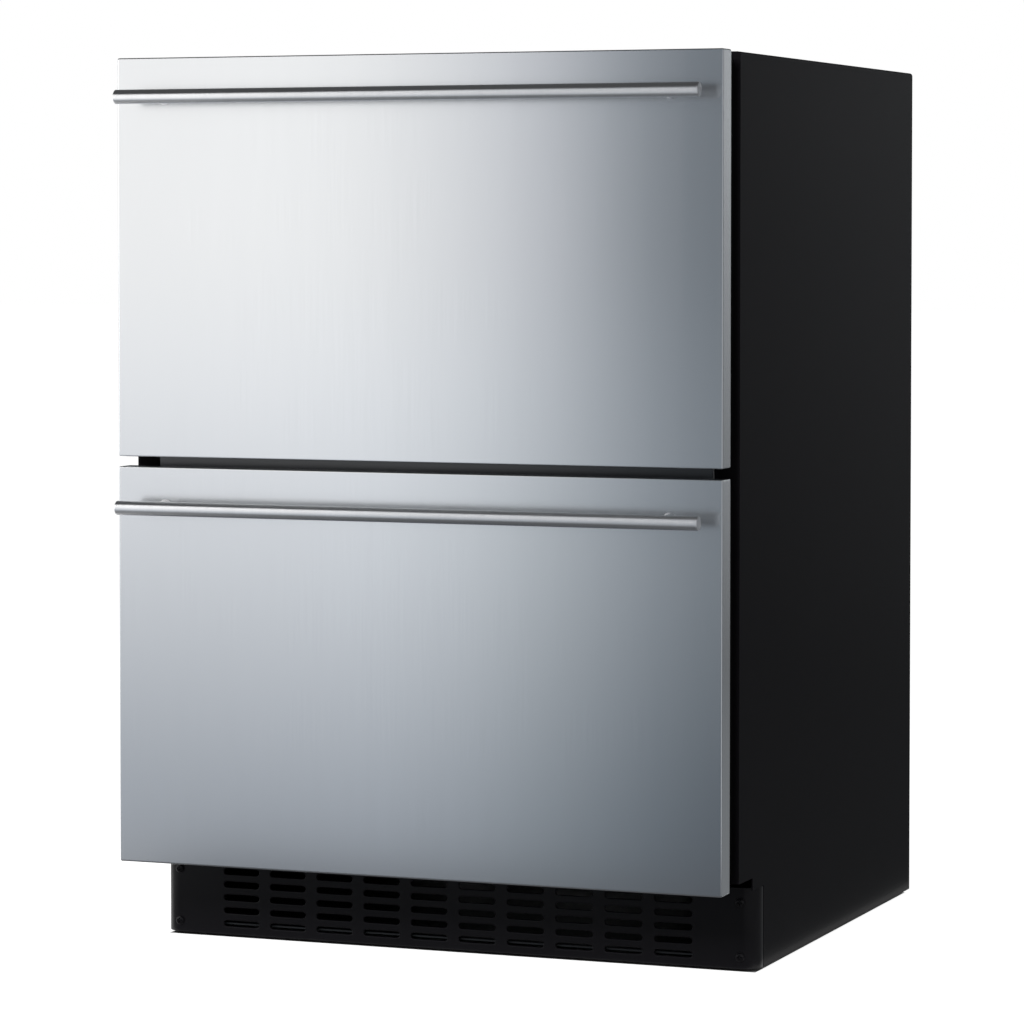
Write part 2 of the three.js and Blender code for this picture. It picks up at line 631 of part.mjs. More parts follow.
// Small motor with arms out to what carries it, its shaft side towards +axis.
function fanMotor(axis, armLength, length) {
  const arms = [0, 1, 2].map((i) =>
    block(10, armLength, -length / 2, -length / 2 + 3, -4, 4).rotateY((2 * Math.PI * i) / 3 + 0.5));
  const body = rod(20, -length / 2, length / 2, Y, 20);
  const turn = new THREE.Quaternion().setFromUnitVectors(Y, axis);
  return join(body, ...arms).applyQuaternion(turn);
}

// Sealed compressor: a drawn shell with a seam flange, on a plate with four rubber bushes.
function compressor() {
  const shell = turned([
    [0, 12], [58, 12], [69, 20], [72, 32], [72, 84], [75, 86], [75, 91], [72, 93], [70, 135],
    [60, 158], [34, 170], [0, 173],
  ], Z, 20);
  const plate = block(-84, 84, -60, 60, 10, 13.5);
  const bushes = [-1, 1].flatMap((i) => [-1, 1].map((j) =>
    rod(9, 0, 11, Z, 12).translate(i * 72, j * 48, 0)));
  return join(plate, shell, ...bushes);
}

// Square shroud with a round throat that the condenser fan turns in.
function fanShroud(radius) {
  const half = 78;
  const inner = half - 2;
  const throat = rod(radius, -10, 10, X, 28);
  const collar = cut(rod(radius + 2, -9, 9, X, 28), throat);
  const plate = block(-9, 9, -half, half, -half, half);
  return join(cut(plate, throat, block(-7.5, 10, -inner, inner, -inner, inner)), collar);
}

function drainPan() {
  const [half, reach] = [85, 62];
  const ring = (z, inset, radius) =>
    ringAtHeight(z, -half + inset, half - inset, -reach + inset, reach - inset, radius);
  return loft([ring(0, 3, 9), ring(28, 0, 12), ring(28, 2, 10), ring(2, 5, 7)]);
}

// Evaporator cover: shallow tray on the cavity's back wall with a round fan grille and vents.
const FAN_HEIGHT = 380;
function evaporatorCover() {
  const [half, low, high, front, wall] = [225, 262, 775, 520, 2];
  const rear = CAVITY_BACK - SEAT;
  const ring = (y, inset) =>
    ringAtDepth(y, -half + inset, half - inset, low + inset, high - inset, 10);
  const tray = loft([
    ring(front, 3), ring(front + 3, 0), ring(rear, 0), ring(rear, wall), ring(front + wall, wall + 2),
  ]);
  const grille = Array.from({ length: 7 }, (_, i) => {
    const z = (i - 3) * 14;
    return slot(0, FAN_HEIGHT + z, 2 * Math.sqrt(54 ** 2 - z ** 2), 8, front - 1, front + 4);
  });
  const vents = Array.from({ length: 6 }, (_, i) =>
    slot((i - 2.5) * 68, high - 30, 52, 8, front - 1, front + 4));
  return cut(tray, ...grille, ...vents);
}

// ---------------------------------------------------------------- controls and light
const CONTROL = { front: 62, low: 765, height: 782, window: [-80, -12], buttons: [20, 52, 84] };
const BUTTON_RADIUS = 6;
const BUTTON_TRAVEL = 1.2;

function controlHousing() {
  const { front, low, height, window, buttons } = CONTROL;
  const high = CAVITY_CEILING - SEAT;
  const body = alongX(outline([
    [front, low + 4], [front + 4, low], [front + 60, low], [front + 60, high], [front, high],
  ]), -115, 115);
  const recess = block(...window, front - 1, front + 2, height - 9, height + 9);
  const pockets = buttons.map((x) =>
    rod(BUTTON_RADIUS + SEAT, front - 1, front + 7, Y).translate(x, 0, height));
  return cut(body, recess, ...pockets);
}

function displayWindow() {
  const { front, height, window: [left, right] } = CONTROL;
  const tall = 9 - SEAT;
  return block(left + SEAT, right - SEAT, front + 0.2, front + 2 - SEAT, height - tall, height + tall);
}

// Push button with a slightly domed face, free to travel into its pocket.
function button() {
  const deep = 7 - SEAT - BUTTON_TRAVEL;
  return turned([
    [0, -deep], [BUTTON_RADIUS, -deep], [BUTTON_RADIUS, 1.2], [BUTTON_RADIUS - 0.8, 2], [0, 2.2],
  ], BACKWARD, 20);
}

// Light lens under the housing, a shallow trough seen from the side.
function ledLens() {
  const { low } = CONTROL;
  return alongX(outline([
    [84, low - SEAT], [80, low - 2], [80, low - 4], [104, low - 4], [104, low - 2], [100, low - SEAT],
  ]), -90, 90);
}

// ---------------------------------------------------------------- the whole refrigerator
const CONDENSER_FAN = { x: -200, y: 508, z: 101 };

function cabinet() {
  const group = new THREE.Group();
  const condenser = finnedCoil({ length: 120, rows: 5, pitch: 30, tube: 4, fins: 6, finDepth: 30 })
    .rotateZ(Math.PI / 2);
  const evaporator = finnedCoil({
    length: 360, rows: 6, pitch: 40, tube: 4.5, fins: 7, finDepth: 25,
  });
  const { x, y, z } = CONDENSER_FAN;
  group.add(
    piece("outer_wrapper", outerWrapper(), BLACK_PAINT),
    piece("back_panel", backPanel(), BLACK_PAINT),
    piece("machine_cover", machineCover(), BLACK_PAINT),
    piece("cord_grommet", cordGrommet(), RUBBER, GROMMET.x, REAR_PANEL, GROMMET.z),
    piece("bulkhead", bulkhead(), ZINC),
    piece("base_pan", basePan(), ZINC),
    piece("foam_insulation", foamInsulation(), FOAM),
    piece("inner_liner", innerLiner(), LINER_WHITE),
    piece("mullion_bar", mullionBar(), DARK_GREY),
    piece("kick_plate", kickPlate(), BLACK_PAINT),
    piece("evaporator_coil", evaporator, ALUMINIUM, 0, 538.5, 610),
    piece("evaporator_cover", evaporatorCover(), LINER_WHITE),
    piece("evaporator_fan_motor", fanMotor(BACKWARD, 60, 12), BLACK_PLASTIC, 0, 547, FAN_HEIGHT),
    piece("evaporator_fan", fanWheel(50, 16, 14.5, 5, BACKWARD), BLACK_PLASTIC, 0, 533, FAN_HEIGHT),
    piece("compressor", compressor(), BLACK_PAINT, 165, 505, PAN_TOP + SEAT),
    piece("condenser_coil", condenser, COPPER, x - 35, y, z),
    piece("condenser_fan_shroud", fanShroud(65), ZINC, x, y, z),
    piece("condenser_fan_motor", fanMotor(LEFTWARD, 74, 24), BLACK_PLASTIC, x + 28, y, z),
    piece("condenser_fan", fanWheel(60, 19, 18, 5, LEFTWARD), BLACK_PLASTIC, x, y, z),
    piece("drain_pan", drainPan(), BLACK_PLASTIC, -30, 510, PAN_TOP + SEAT),
    piece("control_housing", controlHousing(), BLACK_PLASTIC),
    piece("display_window", displayWindow(), GLASS),
    piece("light_lens", ledLens(), LENS),
  );
  SCREW_POINTS.forEach((point, i) => {
    const label = `${i % 2 ? "upper" : "lower"}_${i < 2 ? "left" : "right"}`;
    group.add(piece(`kick_screw_${label}`, kickScrew(), BLACK_PAINT, ...point));
  });
  CONTROL.buttons.forEach((x, i) => {
    const name = ["button_power", "button_colder", "button_warmer"][i];
    group.add(piece(name, button(), DARK_GREY, x, CONTROL.front, CONTROL.height));
  });
  for (const [label, side, y] of FEET) {
    group.add(piece(`levelling_foot_${label}`, levellingFoot(), BLACK_PLASTIC, side * FOOT_X, y));
  }
  return group;
}

const refrigerator = new THREE.Group();
refrigerator.position.y = FACE_Y;
refrigerator.add(
  cabinet(),
  ...drawerRunners("upper", UPPER_BASE, UPPER_SLIDE),
  ...drawerRunners("lower", FRONT_BASE, LOWER_SLIDE),
  drawer("upper", UPPER_BASE, UPPER_SLIDE),
  drawer("lower", FRONT_BASE, LOWER_SLIDE),
);

export default refrigerator;
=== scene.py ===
"""Undercounter refrigerator with two drawers: brushed steel fronts, round bars, a black cabinet.

Lengths are metres in the frame of the solids: +Z up, drawer fronts facing -Y, origin on the floor.
"""

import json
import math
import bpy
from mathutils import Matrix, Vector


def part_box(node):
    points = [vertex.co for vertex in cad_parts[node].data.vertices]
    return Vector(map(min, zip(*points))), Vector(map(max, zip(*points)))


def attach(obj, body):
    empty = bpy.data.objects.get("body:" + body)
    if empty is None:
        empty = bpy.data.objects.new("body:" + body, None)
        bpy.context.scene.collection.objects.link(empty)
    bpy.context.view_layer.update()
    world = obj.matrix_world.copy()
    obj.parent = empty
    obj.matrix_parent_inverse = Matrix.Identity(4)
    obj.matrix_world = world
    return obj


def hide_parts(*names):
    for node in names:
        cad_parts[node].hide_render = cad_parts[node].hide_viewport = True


bl_info = {
    "name": "Undercounter Drawer Refrigerator",
    "version": (1, 0, 0),
    "blender": (4, 5, 0),
    "location": "View3D > Sidebar > Refrigerator",
    "description": "Finishes, dresses and lights a two-drawer undercounter refrigerator",
    "category": "Object",
}

import bmesh
import bpy
import numpy as np

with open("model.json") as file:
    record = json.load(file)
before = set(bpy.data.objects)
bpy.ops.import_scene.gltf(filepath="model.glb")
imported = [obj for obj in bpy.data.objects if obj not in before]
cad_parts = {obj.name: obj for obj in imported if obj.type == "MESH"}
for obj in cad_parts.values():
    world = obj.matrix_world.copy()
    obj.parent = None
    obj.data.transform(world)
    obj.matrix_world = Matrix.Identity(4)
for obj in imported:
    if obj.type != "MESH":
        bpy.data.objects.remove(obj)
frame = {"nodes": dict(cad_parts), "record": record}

DRAWERS = ("upper", "lower")
SIDES = ("left", "right")
CORNERS = ("front_left", "front_right", "rear_left", "rear_right")
MM = 0.001


def corners_of(node):
    """Lowest and highest corner of a solid, as arrays."""
    low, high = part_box(node)
    return np.array(low), np.array(high)


PLATE_LOW, PLATE_HIGH = corners_of("kick_plate")


# ---------------------------------------------------------------- sizes and colours
def number(name, description, default, least=0.0, **kind):
    return bpy.props.FloatProperty(
        name=name, description=description, default=default, min=least, **kind)


def length(name, description, default):
    return number(name, description, default, unit="LENGTH")


def colour(name, description, default):
    return bpy.props.FloatVectorProperty(
        name=name, description=description, default=default, size=3, min=0.0, max=1.0,
        subtype="COLOR")


class FridgeFrontSizes(bpy.types.PropertyGroup):
    bend: length("Bend radius", "Outside radius of the folds round a steel front", 1.3 * MM)
    corner: length("Corner radius", "Radius of a front's corners seen from the front", 1.6 * MM)
    sheet: length("Sheet thickness", "Thickness of the folded steel", 1.2 * MM)
    gasket_width: length("Gasket width", "Width of the magnetic gasket", 16.0 * MM)
    gasket_fold: length("Gasket fold", "Depth of the bellows fold in the gasket", 1.6 * MM)


class FridgeHandleSizes(bpy.types.PropertyGroup):
    chamfer: length("End chamfer", "Rounded edge at the ends of a handle bar", 0.9 * MM)
    post: length("Post radius", "Radius of a handle post", 5.5 * MM)
    foot: length("Post foot radius", "Radius of the collar where a post meets the front", 7.0 * MM)


class FridgeKickPlateSizes(bpy.types.PropertyGroup):
    slot_width: length("Slot width", "Length of a ventilation slot", 37.0 * MM)
    slot_height: length("Slot height", "Height of a ventilation slot", 5.6 * MM)
    column_pitch: length("Column pitch", "Distance between slot columns", 48.6 * MM)
    row_pitch: length("Row pitch", "Distance between slot rows", 12.55 * MM)
    first_row: length("First row", "Lowest slot row above the plate's lower edge", 10.3 * MM)
    lip: length("Lip radius", "Rounded lip round each slot", 0.9 * MM)
    sheet: length("Plate thickness", "Thickness of the kick plate", 2.0 * MM)
    corner: length("Corner radius", "Radius of the plate's round corners", 16.0 * MM)


class FridgeBinSizes(bpy.types.PropertyGroup):
    wall: length("Wall", "Wall thickness of a drawer bin", 1.5 * MM)
    corner: length("Corner radius", "Radius of a bin's upright corners", 15.0 * MM)
    floor: length("Floor radius", "Radius between a bin's floor and walls", 7.0 * MM)
    rim: length("Rim", "How far a bin's rim stands out", 3.0 * MM)


class FridgeColours(bpy.types.PropertyGroup):
    front_steel: colour("Front steel", "Brushed steel of the drawer fronts", (0.62, 0.635, 0.65))
    handle_steel: colour("Handle steel", "Steel of the bars and posts", (0.87, 0.875, 0.885))
    cabinet_black: colour(
        "Cabinet black", "Paint of the cabinet and kick plate", (0.0068, 0.0062, 0.0076))
    black_plastic: colour("Black plastic", "Moulded black parts", (0.006, 0.006, 0.007))
    grey_plastic: colour("Grey plastic", "Mullion strip and buttons", (0.042, 0.047, 0.056))
    rubber: colour("Rubber", "Gaskets and grommet", (0.006, 0.006, 0.006))
    liner: colour("Liner", "White moulded liner", (0.72, 0.73, 0.73))
    bin: colour("Bin", "Pale grey moulded bins", (0.60, 0.62, 0.64))
    foam: colour("Foam", "Insulating foam", (0.70, 0.58, 0.33))
    zinc: colour("Zinc", "Zinc-coated sheet and slides", (0.52, 0.54, 0.56))
    aluminium: colour("Aluminium", "Fins and tube of the evaporator", (0.66, 0.67, 0.69))
    copper: colour("Copper", "Condenser tube", (0.60, 0.27, 0.15))


class FridgeStudio(bpy.types.PropertyGroup):
    key_power: number("Key power", "Power of the large soft light in front", 110.0, unit="POWER")
    fill_power: number("Fill power", "Power of the soft light on the right", 8.0, unit="POWER")
    top_power: number("Top power", "Power of the soft light overhead", 14.0, unit="POWER")
    ambient: number("Ambient", "Level of the light from all round", 0.25, subtype="FACTOR")
    focal_length: number("Focal length", "Lens of the camera", 145.63, 1.0, unit="CAMERA")


# ---------------------------------------------------------------- surfaces
def rounded_rectangle(a0, a1, b0, b1, radius, steps=6):
    """One ring of (a, b) points for each entry of the given lengths.

    A corner is its arc's centre plus radius times (cos t, sin t), with t running a quarter turn,
    and the four corners start at -90, 0, 90 and 180 degrees.
    """
    a0, a1, b0, b1, radius = (
        np.asarray(value, dtype=float)[:, None, None]
        for value in np.broadcast_arrays(*map(np.atleast_1d, (a0, a1, b0, b1, radius))))
    start = np.radians([-90.0, 0.0, 90.0, 180.0])[None, :, None]
    turn = start + np.linspace(0.0, math.pi / 2, steps + 1)[None, None, :]
    centre_a = np.concatenate([a1 - radius, a1 - radius, a0 + radius, a0 + radius], axis=1)
    centre_b = np.concatenate([b0 + radius, b1 - radius, b1 - radius, b0 + radius], axis=1)
    ring_a = centre_a + radius * np.cos(turn)
    ring_b = centre_b + radius * np.sin(turn)
    return ring_a.reshape(len(ring_a), -1), ring_b.reshape(len(ring_b), -1)


def quarter(start, radius, steps):
    """A quarter circle as steps across, r (1 - sin t), and steps along, r (1 - cos t)."""
    t = np.linspace(0.0, math.pi / 2, steps + 1)
    return start[0] + radius * (1 - np.sin(t)), start[1] + radius * (1 - np.cos(t))


def skin_faces(rows, columns, closed=False):
    """Four-sided faces over a grid of points whose columns run round, one row after the other."""
    i = np.arange(rows if closed else rows - 1)[:, None]
    j = np.arange(columns)[None, :]
    after = ((i + 1) % rows) * columns
    beside = (j + 1) % columns
    corners = [i * columns + j, i * columns + beside, after + beside, after + j]
    return np.stack(np.broadcast_arrays(*corners), axis=-1).reshape(-1, 4).tolist()


def placed(name, data):
    """An object of a mesh, a light or a camera, linked to the scene."""
    thing = bpy.data.objects.new(name, data)
    bpy.context.scene.collection.objects.link(thing)
    return thing


def made(name, points, faces, material, sharp=32.0):
    """A closed piece from points and faces: welded, facing outwards, smooth but for its creases."""
    mesh = bpy.data.meshes.new(name)
    mesh.from_pydata(np.asarray(points).tolist(), [], faces)
    build = bmesh.new()
    build.from_mesh(mesh)
    bmesh.ops.remove_doubles(build, verts=build.verts, dist=2e-6)
    bmesh.ops.recalc_face_normals(build, faces=build.faces)
    build.to_mesh(mesh)
    build.free()
    mesh.shade_smooth()
    mesh.set_sharp_from_angle(angle=math.radians(sharp))
    mesh.materials.append(material)
    return placed(name, mesh)


def skinned(name, rings, material, closed=False, sharp=32.0):
    """Skins rings of equally many points into one piece, with flat ends or closed on itself."""
    rows, columns, _ = rings.shape
    faces = skin_faces(rows, columns, closed)
    if not closed:
        last = (rows - 1) * columns
        faces += [list(range(columns)), list(range(last, last + columns))]
    return made(name, rings.reshape(-1, 3), faces, material, sharp)


def swept(name, rings, material, sharp=32.0):
    """Skins rings whose first and last have shrunk to a point."""
    return made(name, rings.reshape(-1, 3), skin_faces(*rings.shape[:2]), material, sharp)


def turned(profile, origin, axis, segments=48):
    """A profile of (radius, distance along the axis) swept once round it.

    A point is origin + axis * along + radius * (side cos t + other sin t), with side and other at
    right angles to the axis.
    """
    radius, along = np.asarray(profile, dtype=float).T
    axis = np.asarray(axis, dtype=float)
    axis = axis / np.linalg.norm(axis)
    helper = np.array([0.0, 0.0, 1.0]) if abs(axis[2]) < 0.9 else np.array([1.0, 0.0, 0.0])
    side = np.cross(axis, helper)
    side /= np.linalg.norm(side)
    other = np.cross(axis, side)
    t = np.linspace(0.0, 2 * math.pi, segments, endpoint=False)
    spoke = side * np.cos(t)[:, None] + other * np.sin(t)[:, None]
    return np.asarray(origin) + axis * along[:, None, None] + radius[:, None, None] * spoke


def lengthwise_map(piece, axis):
    """A UV map for a round piece: U runs along its axis and in over its ends, V is the angle."""
    mesh = piece.data
    points = np.empty(3 * len(mesh.vertices))
    mesh.vertices.foreach_get("co", points)
    corner = np.empty(len(mesh.loops), dtype=np.int32)
    mesh.loops.foreach_get("vertex_index", corner)
    place = points.reshape(-1, 3)
    place = (place - (place.min(axis=0) + place.max(axis=0)) / 2)[corner]
    first, second = [place[:, i] for i in range(3) if i != axis]
    along = place[:, axis] - np.sign(place[:, axis]) * np.hypot(first, second)
    turn = np.arctan2(second, first) / (2 * math.pi)
    layer = mesh.uv_layers.new(name="lengthwise")
    layer.uv.foreach_set("vector", np.column_stack([along, turn]).ravel().astype(np.float32))
    return piece


def fitted(piece, body, slot, *nodes):
    """Hangs a piece on its body and lets it stand for solids."""
    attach(piece, body)
    if nodes:
        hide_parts(*nodes)
    return piece


# ---------------------------------------------------------------- shared shader groups
RELIEF_STEP = 0.0002
METAL_SWING, PAINT_SWING = 0.03, 0.05


def link(tree, source, target):
    tree.links.new(source, target)


def new_group(name, inputs, outputs):
    """An empty shader group with named float, colour or vector sockets."""
    group = bpy.data.node_groups.new(name, "ShaderNodeTree")
    for label, kind, value in inputs:
        socket = group.interface.new_socket(name=label, in_out="INPUT", socket_type=kind)
        if value is not None:
            socket.default_value = value
    for label, kind in outputs:
        group.interface.new_socket(name=label, in_out="OUTPUT", socket_type=kind)
    return group, group.nodes.new("NodeGroupInput"), group.nodes.new("NodeGroupOutput")


def relief_group(name, place, mask, fineness, depth, detail, roughness, broad_scale, broad_detail):
    """Fine noise as a mask and a relief, with broad noise as a second mask."""
    group, given, out = new_group(
        name,
        [(place, "NodeSocketVector", None), ("Fineness", "NodeSocketFloat", fineness),
         ("Depth", "NodeSocketFloat", depth)],
        [(mask, "NodeSocketFloat"), ("Clouds", "NodeSocketFloat"), ("Normal", "NodeSocketVector")])
    fine = group.nodes.new("ShaderNodeTexNoise")
    fine.inputs["Detail"].default_value = detail
    fine.inputs["Roughness"].default_value = roughness
    broad = group.nodes.new("ShaderNodeTexNoise")
    broad.inputs["Scale"].default_value = broad_scale
    broad.inputs["Detail"].default_value = broad_detail
    bump = group.nodes.new("ShaderNodeBump")
    bump.inputs["Distance"].default_value = RELIEF_STEP
    link(group, given.outputs[place], fine.inputs["Vector"])
    link(group, given.outputs[place], broad.inputs["Vector"])
    link(group, given.outputs["Fineness"], fine.inputs["Scale"])
    link(group, given.outputs["Depth"], bump.inputs["Strength"])
    link(group, fine.outputs["Fac"], bump.inputs["Height"])
    link(group, fine.outputs["Fac"], out.inputs[mask])
    link(group, broad.outputs["Fac"], out.inputs["Clouds"])
    link(group, bump.outputs["Normal"], out.inputs["Normal"])
    return group


# Brushed lines run where the place given is squeezed along the grain. Fine grain is the even
# pebbled surface of paint and moulded plastic, with a slower unevenness below it.
RELIEFS = {
    "Brushed lines": ("Grain", "Lines", 900.0, 0.04, 3.0, 0.65, 60.0, 2.0),
    "Fine grain": ("Place", "Grain", 1400.0, 0.08, 2.0, 0.5, 9.0, 3.0),
}


def relief(tree, name, depth, fineness):
    """A node of a relief group, which is made once and shared by every finish."""
    node = tree.nodes.new("ShaderNodeGroup")
    node.node_tree = bpy.data.node_groups.get(name) or relief_group(name, *RELIEFS[name])
    node.inputs["Depth"].default_value = depth
    node.inputs["Fineness"].default_value = fineness
    return node


def principled(name, **plain):
    """A material with one Principled shader whose plain values are set on its own sockets."""
    material = bpy.data.materials.new(f"{name}_finish")
    material.use_nodes = True
    shader = material.node_tree.nodes["Principled BSDF"]
    for label, value in plain.items():
        shader.inputs[label.replace("_", " ")].default_value = value
    return material, material.node_tree, shader


def blended(tree, factor, low, high, target):
    """Feeds a socket with a mix of two colours, or of two values as grey, by a mask."""
    mix = tree.nodes.new("ShaderNodeMix")
    if isinstance(low, (int, float)):
        mix.data_type = "FLOAT"
        mix.inputs[2].default_value, mix.inputs[3].default_value = low, high
        result = mix.outputs[0]
    else:
        mix.data_type = "RGBA"
        mix.inputs[6].default_value, mix.inputs[7].default_value = (*low, 1.0), (*high, 1.0)
        result = mix.outputs[2]
    link(tree, factor, mix.inputs[0])
    link(tree, result, target)


def shaded(colour_value, amount):
    return tuple(min(1.0, channel * amount) for channel in colour_value)


def brushed_metal(name, base, roughness, grain_scale, depth, spread=0.06, fineness=900.0,
                  **plain):
    """Brushed metal: the lines vary its colour and roughness and stand as a faint relief."""
    material, tree, shader = principled(name, Metallic=1.0, **plain)
    place = tree.nodes.new("ShaderNodeTexCoord")
    mapping = tree.nodes.new("ShaderNodeMapping")
    mapping.inputs["Scale"].default_value = grain_scale
    brushed = relief(tree, "Brushed lines", depth, fineness)
    link(tree, place.outputs["Object"], mapping.inputs["Vector"])
    link(tree, mapping.outputs["Vector"], brushed.inputs["Grain"])
    blended(tree, brushed.outputs["Lines"], shaded(base, 1 - spread), shaded(base, 1 + spread),
            shader.inputs["Base Color"])
    blended(tree, brushed.outputs["Clouds"], roughness - METAL_SWING, roughness + METAL_SWING,
            shader.inputs["Roughness"])
    link(tree, brushed.outputs["Normal"], shader.inputs["Normal"])
    return material


def turned_metal(*settings, **plain):
    """Metal brushed round its axis, so light spreads along the piece and stays narrow across it."""
    material = brushed_metal(*settings, **plain)
    tree = material.node_tree
    tangent = tree.nodes.new("ShaderNodeTangent")
    tangent.direction_type = "UV_MAP"
    tangent.uv_map = "lengthwise"
    link(tree, tangent.outputs["Tangent"], tree.nodes["Principled BSDF"].inputs["Tangent"])
    return material


def grained(name, base, roughness, depth, fineness=1400.0, spread=0.12, **plain):
    """Paint, plastic or rubber: grain as relief, and a slow change of colour and roughness."""
    material, tree, shader = principled(name, **plain)
    place = tree.nodes.new("ShaderNodeTexCoord")
    fine = relief(tree, "Fine grain", depth, fineness)
    link(tree, place.outputs["Object"], fine.inputs["Place"])
    blended(tree, fine.outputs["Clouds"], shaded(base, 1 - spread), shaded(base, 1 + spread),
            shader.inputs["Base Color"])
    blended(tree, fine.outputs["Grain"], roughness - PAINT_SWING, roughness + PAINT_SWING,
            shader.inputs["Roughness"])
    link(tree, fine.outputs["Normal"], shader.inputs["Normal"])
    return material


# ---------------------------------------------------------------- finishes
# The sheets seen through the kick plate's slots get zinc darkened as painted shade, standing in for
# the shadow behind the plate.
SHEETS_IN_PAINTED_SHADE = ("base_pan", "bulkhead")
PAN_PAINTED_SHADE = 0.12


def finish(slot):
    """The material of a slot, made the first time it is asked for."""
    return (bpy.data.materials.get(f"{slot}_finish")
            or FINISHES[slot](slot, bpy.context.scene.fridge_colours))


FINISHES = {
    "front_steel": lambda slot, c: brushed_metal(
        slot, c.front_steel, 0.24, (1.0, 1.0, 0.012), 0.05, 0.035),
    "handle_steel": lambda slot, c: turned_metal(
        slot, c.handle_steel, 0.42, (1.0, 0.03, 0.03), 0.03, 0.04, Anisotropic=1.0),
    "cabinet_black": lambda slot, c: grained(slot, c.cabinet_black, 0.3, 0.06, IOR=1.06),
    "plate_black": lambda slot, c: grained(slot, c.cabinet_black, 0.35, 0.06, IOR=1.3),
    "black_plastic": lambda slot, c: grained(slot, c.black_plastic, 0.5, 0.12, IOR=1.05),
    "grey_plastic": lambda slot, c: grained(
        slot, c.grey_plastic, 0.3, 0.06, Specular_IOR_Level=0.8),
    "rubber": lambda slot, c: grained(slot, c.rubber, 0.75, 0.2, IOR=1.03),
    "liner_white": lambda slot, c: grained(slot, c.liner, 0.35, 0.03, 300.0, 0.02),
    "bin_grey": lambda slot, c: grained(slot, c.bin, 0.3, 0.02, 500.0, 0.02),
    "foam": lambda slot, c: grained(slot, c.foam, 0.9, 0.6, 260.0, 0.15),
    "zinc_steel": lambda slot, c: brushed_metal(
        slot, c.zinc, 0.38, (1.0, 0.03, 1.0), 0.05, 0.08),
    # Zinc darkened to painted shade, for the base pan and bulkhead behind the slots.
    "pan_steel": lambda slot, c: brushed_metal(
        slot, shaded(c.zinc, PAN_PAINTED_SHADE), 0.5, (1.0, 0.03, 1.0), 0.05, 0.08),
    "aluminium_fin": lambda slot, c: brushed_metal(
        slot, c.aluminium, 0.32, (1.0, 1.0, 0.05), 0.04),
    "copper_tube": lambda slot, c: brushed_metal(
        slot, c.copper, 0.3, (0.05, 1.0, 1.0), 0.03, 0.12),
    "lens": lambda slot, c: grained(slot, (0.86, 0.86, 0.82), 0.25, 0.05, 900.0, 0.02),
    "display_black": lambda slot, c: grained(slot, (0.004, 0.005, 0.007), 0.12, 0.01),
}


class FRIDGE_OT_finishes(bpy.types.Operator):
    """Give every solid the material of its slot, and the sheets behind the slots a darkened zinc as
    painted shade
    """

    bl_idname = "fridge.finishes"
    bl_label = "Finish the solids"

    def execute(self, context):
        for part in frame["record"]["subparts"]:
            solid = frame["nodes"][part["node"]]
            solid.data.materials.clear()
            # Sheets behind the slots get the darkened zinc: painted shade.
            dark = part["node"] in SHEETS_IN_PAINTED_SHADE
            solid.data.materials.append(finish("pan_steel" if dark else part["material_slot"]))
        return {"FINISHED"}


# ---------------------------------------------------------------- drawers
def front_skin(drawer, sizes):
    """A folded steel front.

    Its section runs from the flat face round a quarter-circle fold, back along the side return,
    over the cut edge and forward again inside, and is carried round a rounded rectangle.
    """
    low, high = corners_of(f"{drawer}_front_panel")
    fold_in, fold_back = quarter((0.0, 0.0), sizes.bend, 8)
    edge = 0.3 * MM
    depth = high[1] - low[1]
    inset = np.concatenate([
        [sizes.bend + 3 * edge, sizes.bend + edge], fold_in, [0, 0, edge],
        [sizes.sheet - edge, sizes.sheet, sizes.sheet, sizes.sheet + edge]])
    back = np.concatenate([
        [0, 0], fold_back, [sizes.bend + edge, depth - edge, depth],
        [depth, depth - edge, sizes.sheet + 2 * edge, sizes.sheet]])
    corner = np.maximum(sizes.corner - 0.6 * inset, edge)
    x, z = rounded_rectangle(
        low[0] + inset, high[0] - inset, low[2] + inset, high[2] - inset, corner)
    y = np.broadcast_to((low[1] + back)[:, None], x.shape)
    return skinned(f"{drawer}_steel_front", np.stack([x, y, z], axis=-1), finish("front_steel"))


def bellows_gasket(drawer, sizes):
    """A magnetic gasket: a base, a folded wall and a rounded bulb, carried round the front.

    The wall's offset is fold * sin(1.5 pi s) squared for s from base to bulb, on both faces.
    """
    low, high = corners_of(f"{drawer}_gasket")
    tall = high[1] - low[1]
    s = np.linspace(0.0, 1.0, 25)
    shoulder, clearance = 3.2 * MM, 0.15 * MM
    fold_end, bulb_start = 0.67, 0.8
    past = ((s - bulb_start) / 0.2).clip(0)
    bulb = shoulder * (1 - np.sqrt(np.clip(1 - past ** 2, 0, 1)))
    fold = sizes.gasket_fold * np.sin(1.5 * math.pi * s) ** 2 * (s < fold_end)
    wall = clearance + fold + bulb
    inset = np.concatenate([wall, (sizes.gasket_width - wall)[::-1]])
    rise = np.concatenate([s, s[::-1]]) * tall
    corner = np.maximum(6 * MM - 0.3 * inset, MM)
    x, z = rounded_rectangle(
        low[0] + inset, high[0] - inset, low[2] + inset, high[2] - inset, corner, 4)
    y = np.broadcast_to((low[1] + rise)[:, None], x.shape)
    return skinned(f"{drawer}_bellows_gasket", np.stack([x, y, z], axis=-1), finish("rubber"),
                   closed=True, sharp=60.0)


class FRIDGE_OT_drawer_fronts(bpy.types.Operator):
    """Make the folded steel fronts and their gaskets"""

    bl_idname = "fridge.drawer_fronts"
    bl_label = "Drawer fronts"

    def execute(self, context):
        sizes = context.scene.fridge_fronts
        for drawer in DRAWERS:
            fitted(front_skin(drawer, sizes), f"{drawer}_drawer", "front_steel",
                   f"{drawer}_front_panel")
            fitted(bellows_gasket(drawer, sizes), f"{drawer}_drawer", "rubber",
                   f"{drawer}_gasket")
        return {"FINISHED"}


